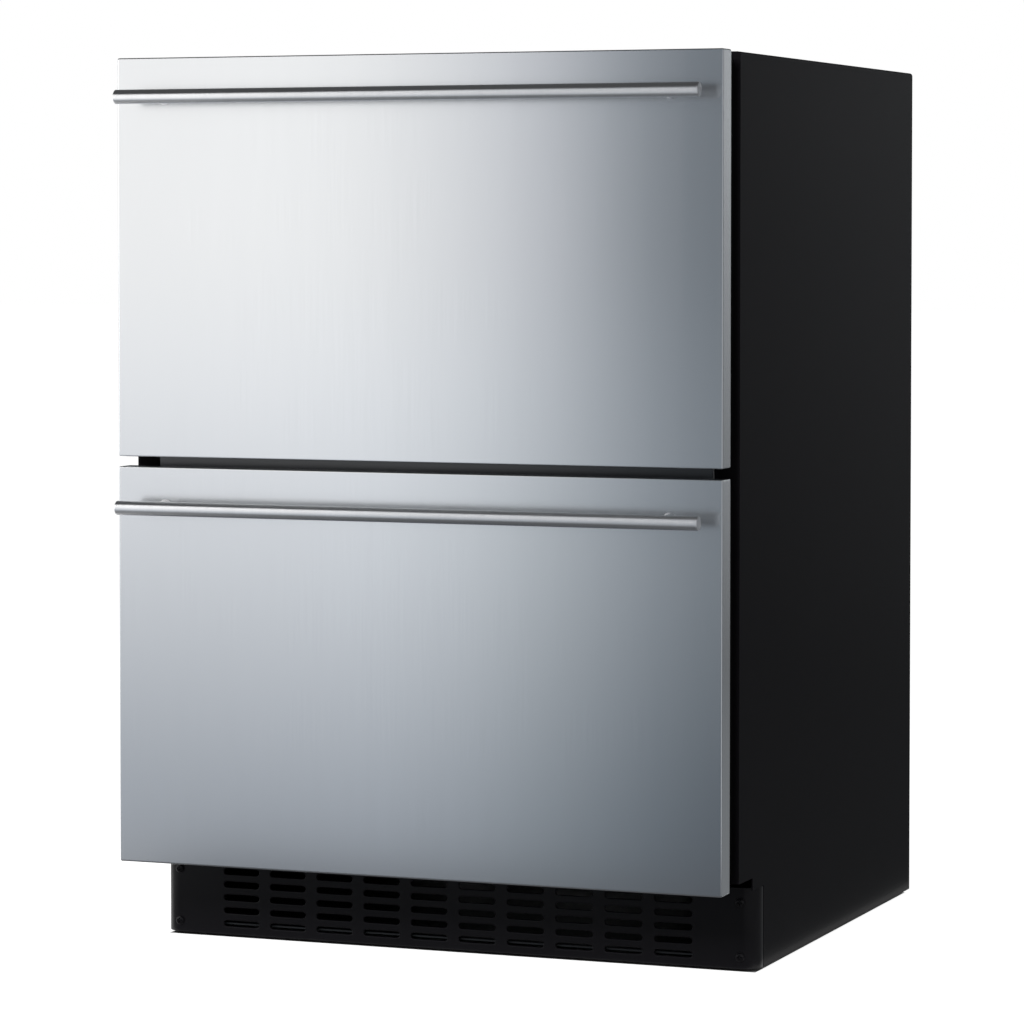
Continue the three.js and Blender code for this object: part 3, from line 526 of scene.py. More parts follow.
def bar(drawer, sizes):
    """A round bar along X: a circle swept along a straight line, its ends rounded over."""
    low, high = corners_of(f"{drawer}_handle_bar")
    centre = (low + high) / 2
    radius = (high[2] - low[2]) / 2
    half = (high[0] - low[0]) / 2
    t = np.linspace(0.0, math.pi / 2, 5)
    end_radius = radius - sizes.chamfer * (1 - np.sin(t))
    end_along = -half + sizes.chamfer * (1 - np.cos(t))
    flat, near_end = radius - 2 * sizes.chamfer, half - 4 * MM
    profile = np.column_stack([
        np.concatenate([[0, flat], end_radius, [radius], [radius], end_radius[::-1], [flat, 0]]),
        np.concatenate([[-half, -half], end_along, [-near_end, near_end], -end_along[::-1],
                        [half, half]])])
    rings = turned(profile, centre, (1, 0, 0), 96)
    return lengthwise_map(swept(f"{drawer}_round_bar", rings, finish("handle_steel")), 0)


def post(drawer, side, sizes):
    """A handle post: a collar, a straight shank and an end hollowed to the bar.

    At height h off the post's axis the end lies at stand-off minus sqrt(R squared - h squared).
    """
    low, high = corners_of(f"{drawer}_handle_bar")
    bar_radius = (high[2] - low[2]) / 2 + 0.05 * MM
    foot_low, foot_high = corners_of(f"{drawer}_handle_post_{side}")
    x, z = (foot_low[0] + foot_high[0]) / 2, (low[2] + high[2]) / 2
    standoff = foot_high[1] - (low[1] + high[1]) / 2
    t = np.linspace(0.0, 2 * math.pi, 48, endpoint=False)
    collar_t = np.linspace(0.0, math.pi / 2, 6)
    collar = sizes.foot - sizes.post
    collar_edge, shank = 1.2 * MM, 6 * MM
    radius = np.concatenate([
        [0, sizes.foot], sizes.foot - collar * np.sin(collar_t), [sizes.post],
        np.linspace(1.0, 0.0, 9) * sizes.post])
    out = np.concatenate([[0, 0], collar_edge + collar * (1 - np.cos(collar_t)), [shank]])
    height = radius[:, None] * np.sin(t)
    reach = np.empty_like(height)
    reach[:len(out)] = out[:, None]
    reach[len(out):] = standoff - np.sqrt(bar_radius ** 2 - height[len(out):] ** 2)
    points = np.stack([
        x + radius[:, None] * np.cos(t), foot_high[1] - reach, z + height], axis=-1)
    return lengthwise_map(swept(f"{drawer}_{side}_post", points, finish("handle_steel")), 1)


class FRIDGE_OT_handles(bpy.types.Operator):
    """Make the round bar handles and their posts"""

    bl_idname = "fridge.handles"
    bl_label = "Handles"

    def execute(self, context):
        sizes = context.scene.fridge_handles
        for drawer in DRAWERS:
            body = f"{drawer}_drawer"
            fitted(bar(drawer, sizes), body, "handle_steel", f"{drawer}_handle_bar")
            for side in SIDES:
                fitted(post(drawer, side, sizes), body, "handle_steel",
                       f"{drawer}_handle_post_{side}")
        return {"FINISHED"}


def drawer_bin(drawer, sizes):
    """A moulded bin: a rounded floor, upright walls and a rolled rim, carried round its plan.

    The rim's section is a half circle over the wall's top and the floor's radius a quarter circle.
    """
    low, high = corners_of(f"{drawer}_bin")
    rim, wall, floor = sizes.rim, sizes.wall, sizes.floor
    lip = 6 * MM
    tall = high[2] - low[2]
    floor_in, floor_up = quarter((0.0, 0.0), floor, 6)
    inner_in, inner_up = quarter((wall, wall), floor - wall, 6)
    over = np.linspace(0.0, math.pi / 2, 5)
    inset = np.concatenate([
        [floor + 4 * MM, floor + MM], floor_in, [0, 0, -rim + 0.5 * MM, -rim],
        -rim + MM * (1 - np.cos(over)), [wall - 0.4 * MM, wall],
        [wall], inner_in[::-1], [floor + MM, floor + 4 * MM]]) + rim
    up = np.concatenate([
        [0, 0], floor_up, [floor + MM, tall - lip - MM, tall - lip, tall - lip + 0.5 * MM],
        tall - MM * (1 - np.sin(over)), [tall, tall - 0.4 * MM],
        [floor + MM], inner_up[::-1], [wall, wall]])
    corner = np.maximum(sizes.corner + rim - inset, 6 * MM)
    x, y = rounded_rectangle(
        low[0] + inset, high[0] - inset, low[1] + inset, high[1] - inset, corner, 8)
    z = np.broadcast_to((low[2] + up)[:, None], x.shape)
    return skinned(f"{drawer}_moulded_bin", np.stack([x, y, z], axis=-1), finish("bin_grey"))


class FRIDGE_OT_bins(bpy.types.Operator):
    """Make the moulded bins of both drawers"""

    bl_idname = "fridge.bins"
    bl_label = "Drawer bins"

    def execute(self, context):
        for drawer in DRAWERS:
            fitted(drawer_bin(drawer, context.scene.fridge_bins), f"{drawer}_drawer", "bin_grey",
                   f"{drawer}_bin")
        return {"FINISHED"}


# ---------------------------------------------------------------- kick plate
SLOT_COLUMNS = 10
SLOT_ROWS = 5
ACROSS_SLOT = 12
UP_SLOT = 6
ROUND_FROM = 0.8
STRAIGHT_STRETCH = 1.12


def wrapped_plate(s, z, inward, sizes):
    """Bends a flat sheet round the plate's corners.

    s runs along the plate from its middle and inward is the distance below its outer face. Up to
    the corner the point is (s, face + inward). Past it, with a = (|s| - flat) / radius, it is the
    arc's centre plus (radius - inward) * (sin a, -cos a), and beyond a quarter turn it runs
    straight back.
    """
    half = PLATE_HIGH[0]
    flat = half - sizes.corner
    arc = sizes.corner * math.pi / 2
    past = np.clip(np.abs(s) - flat, 0.0, arc)
    angle = past / sizes.corner
    beyond = np.clip(np.abs(s) - flat - arc, 0.0, None)
    reach = sizes.corner - inward
    x = np.sign(s) * (np.minimum(np.abs(s), flat) + reach * np.sin(angle))
    y = PLATE_LOW[1] + sizes.corner - reach * np.cos(angle) + beyond
    return np.stack([x, y, z], axis=-1)


def cell_border(width, height, across, up):
    """Points round a rectangle centred on 0, with equal numbers on opposite sides."""
    u = np.linspace(-0.5, 0.5, across + 1)
    v = np.linspace(-0.5, 0.5, up + 1)
    x = np.concatenate([u[:-1], np.full(up, 0.5), -u[:-1], np.full(up, -0.5)]) * width
    z = np.concatenate([np.full(across, -0.5), v[:-1], np.full(across, 0.5), -v[:-1]]) * height
    return x, z


def slot_border(width, height, across, up, grow):
    """Points round a slot with half-round ends, matched one to one with cell_border's.

    Along its straight sides a point is (x, +-r). Past the share ROUND_FROM of its half length it
    is the end's centre plus r (cos t, sin t). grow widens the slot evenly.
    """
    radius = height / 2
    straight = width / 2 - radius
    x, z = cell_border(1.0, 1.0, across, up)
    flat_x = np.clip(2 * x * STRAIGHT_STRETCH, -1, 1) * straight
    past = (np.abs(x) * 2 - ROUND_FROM) / (1 - ROUND_FROM)
    t = np.arctan2(z * 2, np.sign(x) * np.maximum(past, 0.0))
    end = past > 0
    px = np.where(end, np.sign(x) * straight + (radius + grow) * np.cos(t), flat_x)
    pz = np.where(end, (radius + grow) * np.sin(t), np.sign(z) * (radius + grow))
    return px, pz


def slot_cells(sizes):
    """Every slot with the plate round it, as (rings, columns) grids of (s, z, inward).

    From the cell's border the surface runs flat to the lip, over the lip on a quarter circle, back
    through the plate and out again over its rear face.
    """
    border_x, border_z = cell_border(sizes.column_pitch, sizes.row_pitch, ACROSS_SLOT, UP_SLOT)
    t = np.linspace(0.0, math.pi / 2, 5)
    grow = sizes.lip * (1 - np.sin(t))
    dip = sizes.lip * (1 - np.cos(t))
    rings = [(border_x, border_z, 0.0)]
    slot = (sizes.slot_width, sizes.slot_height, ACROSS_SLOT, UP_SLOT)
    rings += [(*slot_border(*slot, g), d) for g, d in zip(
        np.concatenate([[sizes.lip * 1.3], grow]), np.concatenate([[0], dip]))]
    inner = slot_border(*slot, 0.0)
    rings += [(*inner, sizes.sheet), (border_x, border_z, sizes.sheet)]
    cell = np.stack([np.stack([x, z, np.full_like(x, d)], axis=-1) for x, z, d in rings])
    column = (np.arange(SLOT_COLUMNS) - (SLOT_COLUMNS - 1) / 2) * sizes.column_pitch
    row = PLATE_LOW[2] + sizes.first_row + np.arange(SLOT_ROWS) * sizes.row_pitch
    shift = np.zeros((SLOT_COLUMNS, SLOT_ROWS, 1, 1, 3))
    shift[..., 0] = column[:, None, None, None]
    shift[..., 1] = row[None, :, None, None]
    return (cell + shift).reshape(-1, *cell.shape)


def sheet_lines(sizes):
    """Where the plate's plain parts are divided, along it and up it, matching the slots' cells."""
    half_cells = SLOT_COLUMNS * sizes.column_pitch / 2
    flat = PLATE_HIGH[0] - sizes.corner
    arc = sizes.corner * math.pi / 2
    end = flat + arc + (PLATE_HIGH[1] - PLATE_LOW[1] - sizes.corner)
    outside = np.concatenate([
        [half_cells, (half_cells + flat) / 2], np.linspace(flat, flat + arc, 19), [end]])
    inside = np.linspace(-half_cells, half_cells, SLOT_COLUMNS * ACROSS_SLOT + 1)
    base = PLATE_LOW[2] + sizes.first_row - sizes.row_pitch / 2
    top = base + SLOT_ROWS * sizes.row_pitch
    rows = np.linspace(base, top, SLOT_ROWS * UP_SLOT + 1)
    return inside, outside, rows, PLATE_LOW[2], PLATE_HIGH[2]


def plain_patch(s, z, sizes):
    """A plain part of the plate: its two faces over the grid of s and z, as points and faces."""
    points, faces = [], []
    grid_s, grid_z = np.meshgrid(s, z, indexing="ij")
    rows, columns = grid_s.shape
    i = np.arange(rows - 1)[:, None]
    j = np.arange(columns - 1)[None, :]
    quad = np.stack([i * columns + j, (i + 1) * columns + j, (i + 1) * columns + j + 1,
                     i * columns + j + 1], axis=-1).reshape(-1, 4)
    for layer, inward in enumerate((0.0, sizes.sheet)):
        depth = np.full_like(grid_s, inward)
        points.append(np.stack([grid_s, grid_z, depth], axis=-1).reshape(-1, 3))
        faces.append(quad + layer * rows * columns)
    return np.concatenate(points), np.concatenate(faces)


def edge_strip(s, z, sizes):
    """The plate's cut edge along a line of points, from its outer to its rear face."""
    outer = np.stack([s, z, np.zeros_like(s)], axis=-1)
    inner = outer + np.array([0.0, 0.0, sizes.sheet])
    n = len(s)
    i = np.arange(n - 1)
    return np.concatenate([outer, inner]), np.stack([i, i + 1, n + i + 1, n + i], axis=-1)


def slotted_plate(sizes):
    """The kick plate: slot cells, plain parts and cut edges, wrapped round both corners."""
    inside, outside, rows, bottom, top = sheet_lines(sizes)
    upright = np.concatenate([[bottom], rows, [top]])
    parts = []
    for cell in slot_cells(sizes):
        parts.append((cell.reshape(-1, 3), np.array(skin_faces(*cell.shape[:2]))))
    for s in (outside, -outside):
        parts.append(plain_patch(s, upright, sizes))
        parts.append(edge_strip(np.full_like(upright, s[-1]), upright, sizes))
    for edge, first in ((bottom, rows[0]), (top, rows[-1])):
        parts.append(plain_patch(inside, np.array([edge, first]), sizes))
        whole = np.concatenate([-outside[:0:-1], inside, outside[1:]])
        parts.append(edge_strip(whole, np.full_like(whole, edge), sizes))
    points, faces, start = [], [], 0
    for part_points, part_faces in parts:
        points.append(part_points)
        faces.append(part_faces + start)
        start += len(part_points)
    flat = np.concatenate(points)
    return made("slotted_kick_plate", wrapped_plate(flat[:, 0], flat[:, 1], flat[:, 2], sizes),
                np.concatenate(faces).tolist(), finish("plate_black"), 40.0)


def cross_screw(node, name):
    """A domed screw head with a cross recess, facing straight out of the plate.

    Its height is rim + (crown - rim) sqrt(1 - (r / R) squared), less the recess, whose depth fades
    across each arm with the distance from the arm's middle line.
    """
    low, high = corners_of(node)
    crown, rim = PLATE_LOW[1] - low[1], 0.7 * MM
    arm_half, arm_length, recess = 0.62 * MM, 2.4 * MM, 1.2 * MM
    shank, under_head, end = 0.4, -0.6 * MM, -9.0 * MM
    x, z = (low[0] + high[0]) / 2, (low[2] + high[2]) / 2
    reach = (high[2] - low[2]) / 2
    r = np.linspace(0.0, reach, 22)[:, None]
    t = np.linspace(0.0, 2 * math.pi, 64, endpoint=False)[None, :]
    u, v = r * np.cos(t), r * np.sin(t)
    near, far = np.minimum(np.abs(u), np.abs(v)), np.maximum(np.abs(u), np.abs(v))
    arm = np.clip((arm_half - near) / (0.25 * MM), 0, 1) * np.clip(
        (arm_length - far) / (0.5 * MM), 0, 1)
    head = rim + (crown - rim) * np.sqrt(np.clip(1 - (r / reach) ** 2, 0, 1)) - recess * arm
    width = np.array([1.0, shank, shank, 0.0])[:, None]
    depth = np.array([under_head, under_head, end, end])[:, None]
    rings = np.concatenate([
        np.stack([x + u, PLATE_LOW[1] - head, z + v], axis=-1),
        np.stack(np.broadcast_arrays(x + width * u[-1:], PLATE_LOW[1] - depth, z + width * v[-1:]),
                 axis=-1)])
    return swept(name, rings, finish("plate_black"), 50.0)


class FRIDGE_OT_kick_plate(bpy.types.Operator):
    """Make the slotted kick plate and its screws"""

    bl_idname = "fridge.kick_plate"
    bl_label = "Kick plate"

    def execute(self, context):
        fitted(slotted_plate(context.scene.fridge_kick_plate), "cabinet", "cabinet_black",
               "kick_plate")
        for level in ("lower", "upper"):
            for side in SIDES:
                node = f"kick_screw_{level}_{side}"
                fitted(cross_screw(node, f"cross_screw_{level}_{side}"), "cabinet",
                       "cabinet_black", node)
        return {"FINISHED"}


# ---------------------------------------------------------------- feet
def threaded_foot(corner):
    """A levelling foot: a pad, a neck and a threaded stem.

    The stem's radius is its mean plus a ripple that follows height / pitch - angle / 2 pi, so the
    ridge climbs one pitch a turn.
    """
    low, high = corners_of(f"levelling_foot_{corner}")
    centre = (low + high) / 2
    reach = (high[0] - low[0]) / 2
    stem, pitch, ridge_height = 4.7 * MM, 1.75 * MM, 0.3 * MM
    pad = np.array([
        [0, 0], [reach - 2.4 * MM, 0], [reach - 1.2 * MM, 0.4 * MM], [reach, 2 * MM],
        [reach, 5 * MM], [reach - 0.8 * MM, 6 * MM], [reach - 3 * MM, 7 * MM],
        [stem + 2.5 * MM, 8 * MM], [stem, 8.4 * MM]])
    climb = np.linspace(9 * MM, high[2] - low[2] - MM, 90)
    height = np.concatenate([pad[:, 1], climb, [high[2] - low[2]] * 2])
    radius = np.concatenate([pad[:, 0], np.full_like(climb, stem), [stem - MM, 0]])
    t = np.linspace(0.0, 2 * math.pi, 32, endpoint=False)
    phase = height[:, None] / pitch - t[None, :] / (2 * math.pi)
    ridge = np.zeros_like(phase)
    ridge[len(pad):-2] = ridge_height * np.cos(2 * math.pi * phase[len(pad):-2])
    ring = radius[:, None] + ridge
    points = np.stack([
        centre[0] + ring * np.cos(t), centre[1] + ring * np.sin(t),
        np.broadcast_to(low[2] + height[:, None], ring.shape)], axis=-1)
    return swept(f"threaded_foot_{corner}", points, finish("black_plastic"), 50.0)


class FRIDGE_OT_feet(bpy.types.Operator):
    """Make the levelling feet"""

    bl_idname = "fridge.feet"
    bl_label = "Levelling feet"

    def execute(self, context):
        for corner in CORNERS:
            fitted(threaded_foot(corner), f"levelling_foot_{corner}", "black_plastic",
                   f"levelling_foot_{corner}")
        return {"FINISHED"}


# ---------------------------------------------------------------- studio
def studio_sheet(name, corners, material):
    """A four-cornered sheet of the studio, with its place in its mesh."""
    mesh = bpy.data.meshes.new(name)
    mesh.from_pydata(corners, [], [(0, 1, 2, 3)])
    mesh.materials.append(material)
    sheet = placed(name, mesh)
    return sheet


def panel_card(name, corners, material):
    """A flat card seen only in reflections."""
    card = studio_sheet(name, corners, material)
    for ray in ("camera", "diffuse", "transmission", "volume_scatter", "shadow"):
        setattr(card, f"visible_{ray}", False)


def plain_glow(name, level):
    """An emission material of one even level."""
    material = bpy.data.materials.new(name)
    material.use_nodes = True
    tree = material.node_tree
    tree.nodes.remove(tree.nodes["Principled BSDF"])
    glow = tree.nodes.new("ShaderNodeEmission")
    glow.inputs["Color"].default_value = (*level, 1.0)
    link(tree, glow.outputs["Emission"], tree.nodes["Material Output"].inputs["Surface"])
    return material, tree, glow


def ramp(tree, source, stops):
    """A colour ramp from (position, colour) stops."""
    node = tree.nodes.new("ShaderNodeValToRGB")
    elements = node.color_ramp.elements
    while len(elements) < len(stops):
        elements.new(0.5)
    for element, (position, value) in zip(elements, stops):
        element.position = position
        element.color = (*value, 1.0)
    link(tree, source, node.inputs["Fac"])
    return node.outputs["Color"]


CARD_LEFT, CARD_RIGHT = -0.9, 0.36
CARD_FRONT, CARD_BACK = -0.78, 4.0
CARD_SIDE, CARD_SIDE_START = 1.1, -0.1
CARD_FAR_LEFT, CARD_BACK_LEFT, CARD_REAR_LEFT = -1.6, -1.0, -0.8
CARD_TOP, CARD_TALL_TOP = 1.13, 2.4
CARD_LIFT = 0.003
GROUND_REACH, GROUND_CHANGE, GROUND_END = 3.0, -0.44, -0.187
BESIDE_START, ABOVE_END = 0.31, 1.0
GRADED_HEIGHT = 1.05
GRADED_LEVEL = 3.6
SIDE_LEVEL = 1.7
CARD_COLOURS = {
    "dark": (0.08, 0.081, 0.084),
    "ground": (0.12, 0.124, 0.132),
    "left ground": (0.50, 0.505, 0.52),
    "dim": (0.11, 0.115, 0.12),
    "low": (0.23, 0.24, 0.25),
    "pale": (0.5, 0.515, 0.54),
}


def spread_stops(stops):
    """Stops of (x, red, green, blue) on the graded card, as positions and levels from 0 to 1."""
    return [((x - CARD_LEFT) / (CARD_RIGHT - CARD_LEFT), tuple(c / GRADED_LEVEL for c in level))
            for x, *level in stops]


def object_place(tree):
    """The X, Y and Z of a point in its object's own frame."""
    place = tree.nodes.new("ShaderNodeTexCoord")
    split = tree.nodes.new("ShaderNodeSeparateXYZ")
    link(tree, place.outputs["Object"], split.inputs["Vector"])
    return split.outputs


def card_place(tree):
    """A function that gives where a point of a card lies between two limits on an axis, 0 to 1."""
    place = object_place(tree)

    def along(axis, low, high):
        span = tree.nodes.new("ShaderNodeMapRange")
        span.inputs["From Min"].default_value = low
        span.inputs["From Max"].default_value = high
        link(tree, place[axis], span.inputs["Value"])
        return span.outputs["Result"]

    return along


def mixed(tree, kind, factor, first, second):
    """A colour mix of two sockets by a plain factor or a third socket."""
    mix = tree.nodes.new("ShaderNodeMix")
    mix.data_type = "RGBA"
    mix.blend_type = kind
    if isinstance(factor, float):
        mix.inputs[0].default_value = factor
    else:
        link(tree, factor, mix.inputs[0])
    link(tree, first, mix.inputs[6])
    link(tree, second, mix.inputs[7])
    return mix.outputs[2]


def graded_card():
    """A card in front of the drawers, bright on the left and falling off to the right and below."""
    material, tree, glow = plain_glow("graded card", (1, 1, 1))
    glow.inputs["Strength"].default_value = GRADED_LEVEL
    along = card_place(tree)
    across = along("X", CARD_LEFT, CARD_RIGHT)
    upward = along("Z", 0.0, GRADED_HEIGHT)
    high_row = ramp(tree, across, spread_stops([
        (-0.85, 3.6, 3.6, 3.6), (-0.68, 1.30, 1.28, 1.26), (-0.36, 1.445, 1.43, 1.415),
        (-0.25, 1.34, 1.33, 1.32), (-0.15, 1.10, 1.105, 1.125), (-0.07, 0.873, 0.88, 0.93),
        (0.0, 0.535, 0.57, 0.607), (0.06, 0.273, 0.306, 0.344), (0.13, 0.20, 0.225, 0.253)]))
    low_row = ramp(tree, across, spread_stops([
        (-0.85, 3.0, 3.0, 3.0), (-0.66, 1.44, 1.47, 1.53), (-0.40, 1.525, 1.56, 1.63),
        (-0.25, 1.56, 1.61, 1.69), (-0.15, 1.345, 1.405, 1.48), (-0.07, 1.03, 1.105, 1.165),
        (0.0, 0.775, 0.84, 0.905), (0.06, 0.555, 0.62, 0.69), (0.13, 0.366, 0.41, 0.457)]))
    fade = ramp(tree, upward, [(0.30, (0, 0, 0)), (0.62, (1, 1, 1))])
    level = ramp(tree, upward, [
        (0.0, (0.31, 0.33, 0.352)), (0.10, (0.375, 0.39, 0.405)), (0.28, (0.58,) * 3),
        (0.40, (0.73,) * 3), (0.50, (0.86,) * 3), (0.64, (0.97,) * 3), (1.0, (1.0,) * 3)])
    rows = mixed(tree, "MIX", fade, low_row, high_row)
    link(tree, mixed(tree, "MULTIPLY", 1.0, rows, level), glow.inputs["Color"])
    return material


def side_card():
    """A dim card beside the cabinet, brighter towards its top and towards the back."""
    material, tree, glow = plain_glow("side card", (1, 1, 1))
    glow.inputs["Strength"].default_value = SIDE_LEVEL
    along = card_place(tree)
    upward = ramp(tree, along("Z", 0.0, 1.0), [
        (0.12, (0.405, 0.42, 0.435)), (0.42, (0.60, 0.62, 0.645)), (0.72, (0.745, 0.77, 0.80)),
        (0.90, (0.94, 0.97, 1.0))])
    backward = ramp(tree, along("Y", 0.4, 3.2), [
        (0.0, (0.05,) * 3), (0.40, (0.20,) * 3), (0.69, (0.31,) * 3), (0.80, (0.34,) * 3),
        (0.96, (0.85,) * 3)])
    link(tree, mixed(tree, "MULTIPLY", 1.0, upward, backward), glow.inputs["Color"])
    return material


def level_card(name, height, x_range, y_range, material):
    """A card lying level at a height, between two limits along X and two along Y."""
    (left, right), (near, far) = x_range, y_range
    panel_card(name, [(left, near, height), (right, near, height), (right, far, height),
                      (left, far, height)], material)


def upright_card(name, start, end, top, material):
    """A card standing on the floor between two points of it."""
    panel_card(name, [(*start, 0.0), (*end, 0.0), (*end, top), (*start, top)], material)


def studio_cards():
    """Cards that only reflections see: a graded one before the drawers and dim ones round them."""
    glows = {name: plain_glow(f"{name} card", level)[0] for name, level in CARD_COLOURS.items()}
    start, before_plate = (CARD_SIDE, CARD_SIDE_START), (CARD_FRONT, GROUND_END)
    upright_card("card_front", (CARD_FAR_LEFT, CARD_FRONT), (CARD_RIGHT, CARD_FRONT), CARD_TOP,
                 graded_card())
    upright_card("card_right", (CARD_RIGHT, CARD_FRONT), start, CARD_TOP, glows["pale"])
    upright_card("card_side", start, (CARD_SIDE, CARD_BACK), CARD_TALL_TOP, side_card())
    upright_card("card_back", (CARD_BACK_LEFT, CARD_BACK), (CARD_SIDE, CARD_BACK), CARD_TALL_TOP,
                 glows["dim"])
    upright_card("card_left", (CARD_REAR_LEFT, CARD_SIDE_START), (CARD_REAR_LEFT, CARD_BACK),
                 CARD_TOP, glows["dim"])
    level_card("card_above", CARD_TOP, (-GROUND_REACH, GROUND_REACH), (CARD_FRONT, ABOVE_END),
               glows["dark"])
    level_card("card_below", CARD_LIFT, (GROUND_CHANGE, GROUND_REACH), before_plate,
               glows["ground"])
    level_card("card_below_left", CARD_LIFT, (-GROUND_REACH, GROUND_CHANGE), before_plate,
               glows["left ground"])
    level_card("card_beside", CARD_LIFT, (BESIDE_START, CARD_SIDE), (GROUND_END, CARD_BACK),
               glows["low"])


# Place, side and power setting of each soft lamp. All of them point at LAMP_AIM.
LAMPS = {
    "key_lamp": ((0.0, -3.2, 2.2), 1.2, "key_power"),
    "fill_lamp": ((2.8, -1.6, 1.4), 1.8, "fill_power"),
    "top_lamp": ((0.2, 0.4, 3.0), 2.0, "top_power"),
}
LAMP_AIM = (0.0, 0.0, 0.42)


def soft_lamp(name, place, size, watts):
    """A square area lamp that lights surfaces but isn't seen in them."""
    data = bpy.data.lights.new(name, "AREA")
    data.shape = "SQUARE"
    data.size = size
    data.energy = watts
    lamp = placed(name, data)
    lamp.location = place
    direction = np.array(LAMP_AIM) - np.array(place)
    yaw = math.atan2(direction[0], direction[1])
    pitch = math.atan2(direction[2], math.hypot(direction[0], direction[1]))
    lamp.rotation_euler = (math.pi / 2 + pitch, 0.0, -yaw)
    lamp.visible_glossy = False


def maths(tree, operation, first, second=None):
    """A maths node on sockets or plain numbers."""
    node = tree.nodes.new("ShaderNodeMath")
    node.operation = operation
    for socket, value in zip(node.inputs, (first, second)):
        if isinstance(value, float):
            socket.default_value = value
        elif value is not None:
            link(tree, value, socket)
    return node.outputs[0]


def seen_directly(tree):
    """1 for camera, glossy and transmission rays, 0 for the rest."""
    path = tree.nodes.new("ShaderNodeLightPath")
    camera, glossy, through = (
        path.outputs[f"Is {ray} Ray"] for ray in ("Camera", "Glossy", "Transmission"))
    return maths(tree, "MAXIMUM", maths(tree, "MAXIMUM", camera, glossy), through)


def white_world(ambient):
    """White where the camera, gloss and glass look, and a plain ambient level for the rest."""
    world = bpy.data.worlds.new("white studio")
    world.use_nodes = True
    tree = world.node_tree
    base = tree.nodes["Background"]
    base.inputs["Color"].default_value = (1, 1, 1, 1)
    base.inputs["Strength"].default_value = ambient
    white = tree.nodes.new("ShaderNodeBackground")
    white.inputs["Color"].default_value = (1, 1, 1, 1)
    mix = tree.nodes.new("ShaderNodeMixShader")
    link(tree, seen_directly(tree), mix.inputs[0])
    link(tree, base.outputs[0], mix.inputs[1])
    link(tree, white.outputs[0], mix.inputs[2])
    link(tree, mix.outputs[0], tree.nodes["World Output"].inputs["Surface"])
    bpy.context.scene.world = world


SHADE_SPANS = (("X", 0.0, 0.297), ("Y", 0.065, 0.247))
FLOOR_REACH = 30.0


def outside_footprint(tree):
    """1 on the floor round the cabinet and 0 in its shade behind the kick plate."""
    place = object_place(tree)
    beyond = [
        maths(tree, "GREATER_THAN",
              maths(tree, "ABSOLUTE", maths(tree, "SUBTRACT", place[axis], middle)), half)
        for axis, middle, half in SHADE_SPANS]
    return maths(tree, "MAXIMUM", *beyond)


def pale_floor():
    """A wide floor at z = 0 that renders white and keeps a soft shadow."""
    material, tree, shader = principled("studio_floor", Roughness=0.9, Specular_IOR_Level=0.0)
    shader.inputs["Base Color"].default_value = (0.5, 0.5, 0.5, 1.0)
    glow = tree.nodes.new("ShaderNodeEmission")
    glow.inputs["Color"].default_value = (0.9, 0.9, 0.9, 1.0)
    add = tree.nodes.new("ShaderNodeAddShader")
    mix = tree.nodes.new("ShaderNodeMixShader")
    shown = maths(tree, "MULTIPLY", seen_directly(tree), outside_footprint(tree))
    link(tree, shader.outputs[0], add.inputs[0])
    link(tree, glow.outputs[0], add.inputs[1])
    link(tree, shown, mix.inputs[0])
    link(tree, shader.outputs[0], mix.inputs[1])
    link(tree, add.outputs[0], mix.inputs[2])
    link(tree, mix.outputs[0], tree.nodes["Material Output"].inputs["Surface"])
    reach = FLOOR_REACH
    studio_sheet("studio_floor", [(-reach, -reach, 0), (reach, -reach, 0), (reach, reach, 0),
                                  (-reach, reach, 0)], material)


CAMERA_PLACE = (1.4612, -3.7649, 0.6769)
CAMERA_YAW, CAMERA_PITCH = 21.383, -2.338
CAMERA_SHIFT = -0.109


def studio_camera(focal_length):
    """The photograph's viewpoint: right of the fridge, level with the upper drawer."""
    data = bpy.data.cameras.new("camera")
    data.lens = focal_length
    data.sensor_width = 36.0
    data.shift_y = CAMERA_SHIFT
    camera = placed("camera", data)
    camera.location = CAMERA_PLACE
    camera.rotation_euler = (math.radians(90 + CAMERA_PITCH), 0.0, math.radians(CAMERA_YAW))
    bpy.context.scene.camera = camera


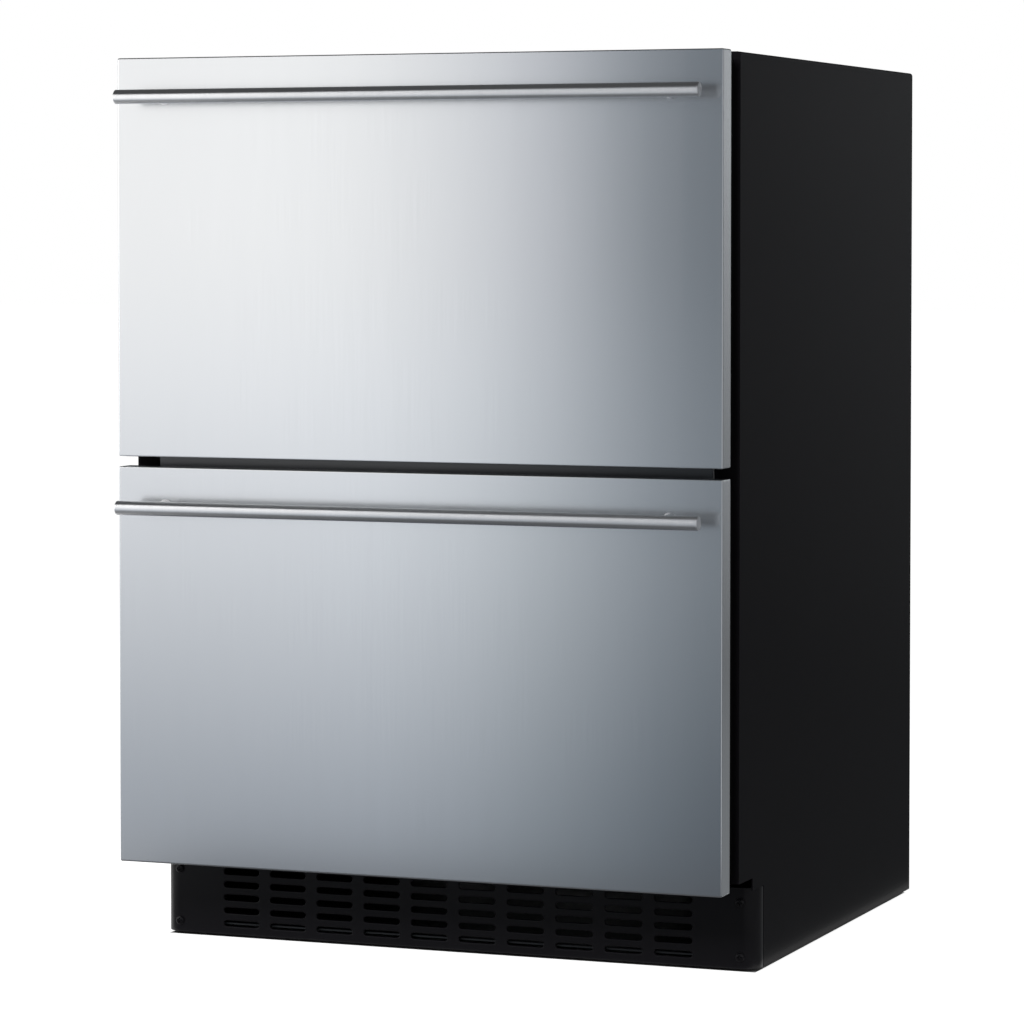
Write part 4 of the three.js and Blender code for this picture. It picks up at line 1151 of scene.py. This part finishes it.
class FRIDGE_OT_studio(bpy.types.Operator):
    """Set up the floor, the soft light, the cards and the camera"""

    bl_idname = "fridge.studio"
    bl_label = "Studio"

    def execute(self, context):
        studio = context.scene.fridge_studio
        context.scene.view_settings.view_transform = "Standard"
        white_world(studio.ambient)
        pale_floor()
        for name, (place, size, setting) in LAMPS.items():
            soft_lamp(name, place, size, getattr(studio, setting))
        studio_cards()
        studio_camera(studio.focal_length)
        return {"FINISHED"}


# ---------------------------------------------------------------- sidebar and registration
STEPS = (
    FRIDGE_OT_finishes, FRIDGE_OT_drawer_fronts, FRIDGE_OT_handles, FRIDGE_OT_bins,
    FRIDGE_OT_kick_plate, FRIDGE_OT_feet, FRIDGE_OT_studio,
)
SETTINGS = {
    "fridge_fronts": FridgeFrontSizes, "fridge_handles": FridgeHandleSizes,
    "fridge_kick_plate": FridgeKickPlateSizes, "fridge_bins": FridgeBinSizes,
    "fridge_colours": FridgeColours, "fridge_studio": FridgeStudio,
}


class FRIDGE_PT_sidebar(bpy.types.Panel):
    """Sizes, colours and steps of the refrigerator"""

    bl_idname = "FRIDGE_PT_sidebar"
    bl_label = "Refrigerator"
    bl_space_type = "VIEW_3D"
    bl_region_type = "UI"
    bl_category = "Refrigerator"

    def draw(self, context):
        for name, group in SETTINGS.items():
            box = self.layout.box()
            settings = getattr(context.scene, name)
            for label in group.__annotations__:
                box.prop(settings, label)
        for step in STEPS:
            self.layout.operator(step.bl_idname)


def register():
    for group in (*SETTINGS.values(), *STEPS, FRIDGE_PT_sidebar):
        bpy.utils.register_class(group)
    for name, group in SETTINGS.items():
        setattr(bpy.types.Scene, name, bpy.props.PointerProperty(type=group))


def unregister():
    for name in SETTINGS:
        delattr(bpy.types.Scene, name)
    for group in reversed((*SETTINGS.values(), *STEPS, FRIDGE_PT_sidebar)):
        bpy.utils.unregister_class(group)


def main():
    """Registers the add-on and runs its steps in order."""
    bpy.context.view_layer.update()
    register()
    bpy.ops.fridge.finishes()
    bpy.ops.fridge.drawer_fronts()
    bpy.ops.fridge.handles()
    bpy.ops.fridge.bins()
    bpy.ops.fridge.kick_plate()
    bpy.ops.fridge.feet()
    bpy.ops.fridge.studio()


if __name__ == "__main__":
    main()
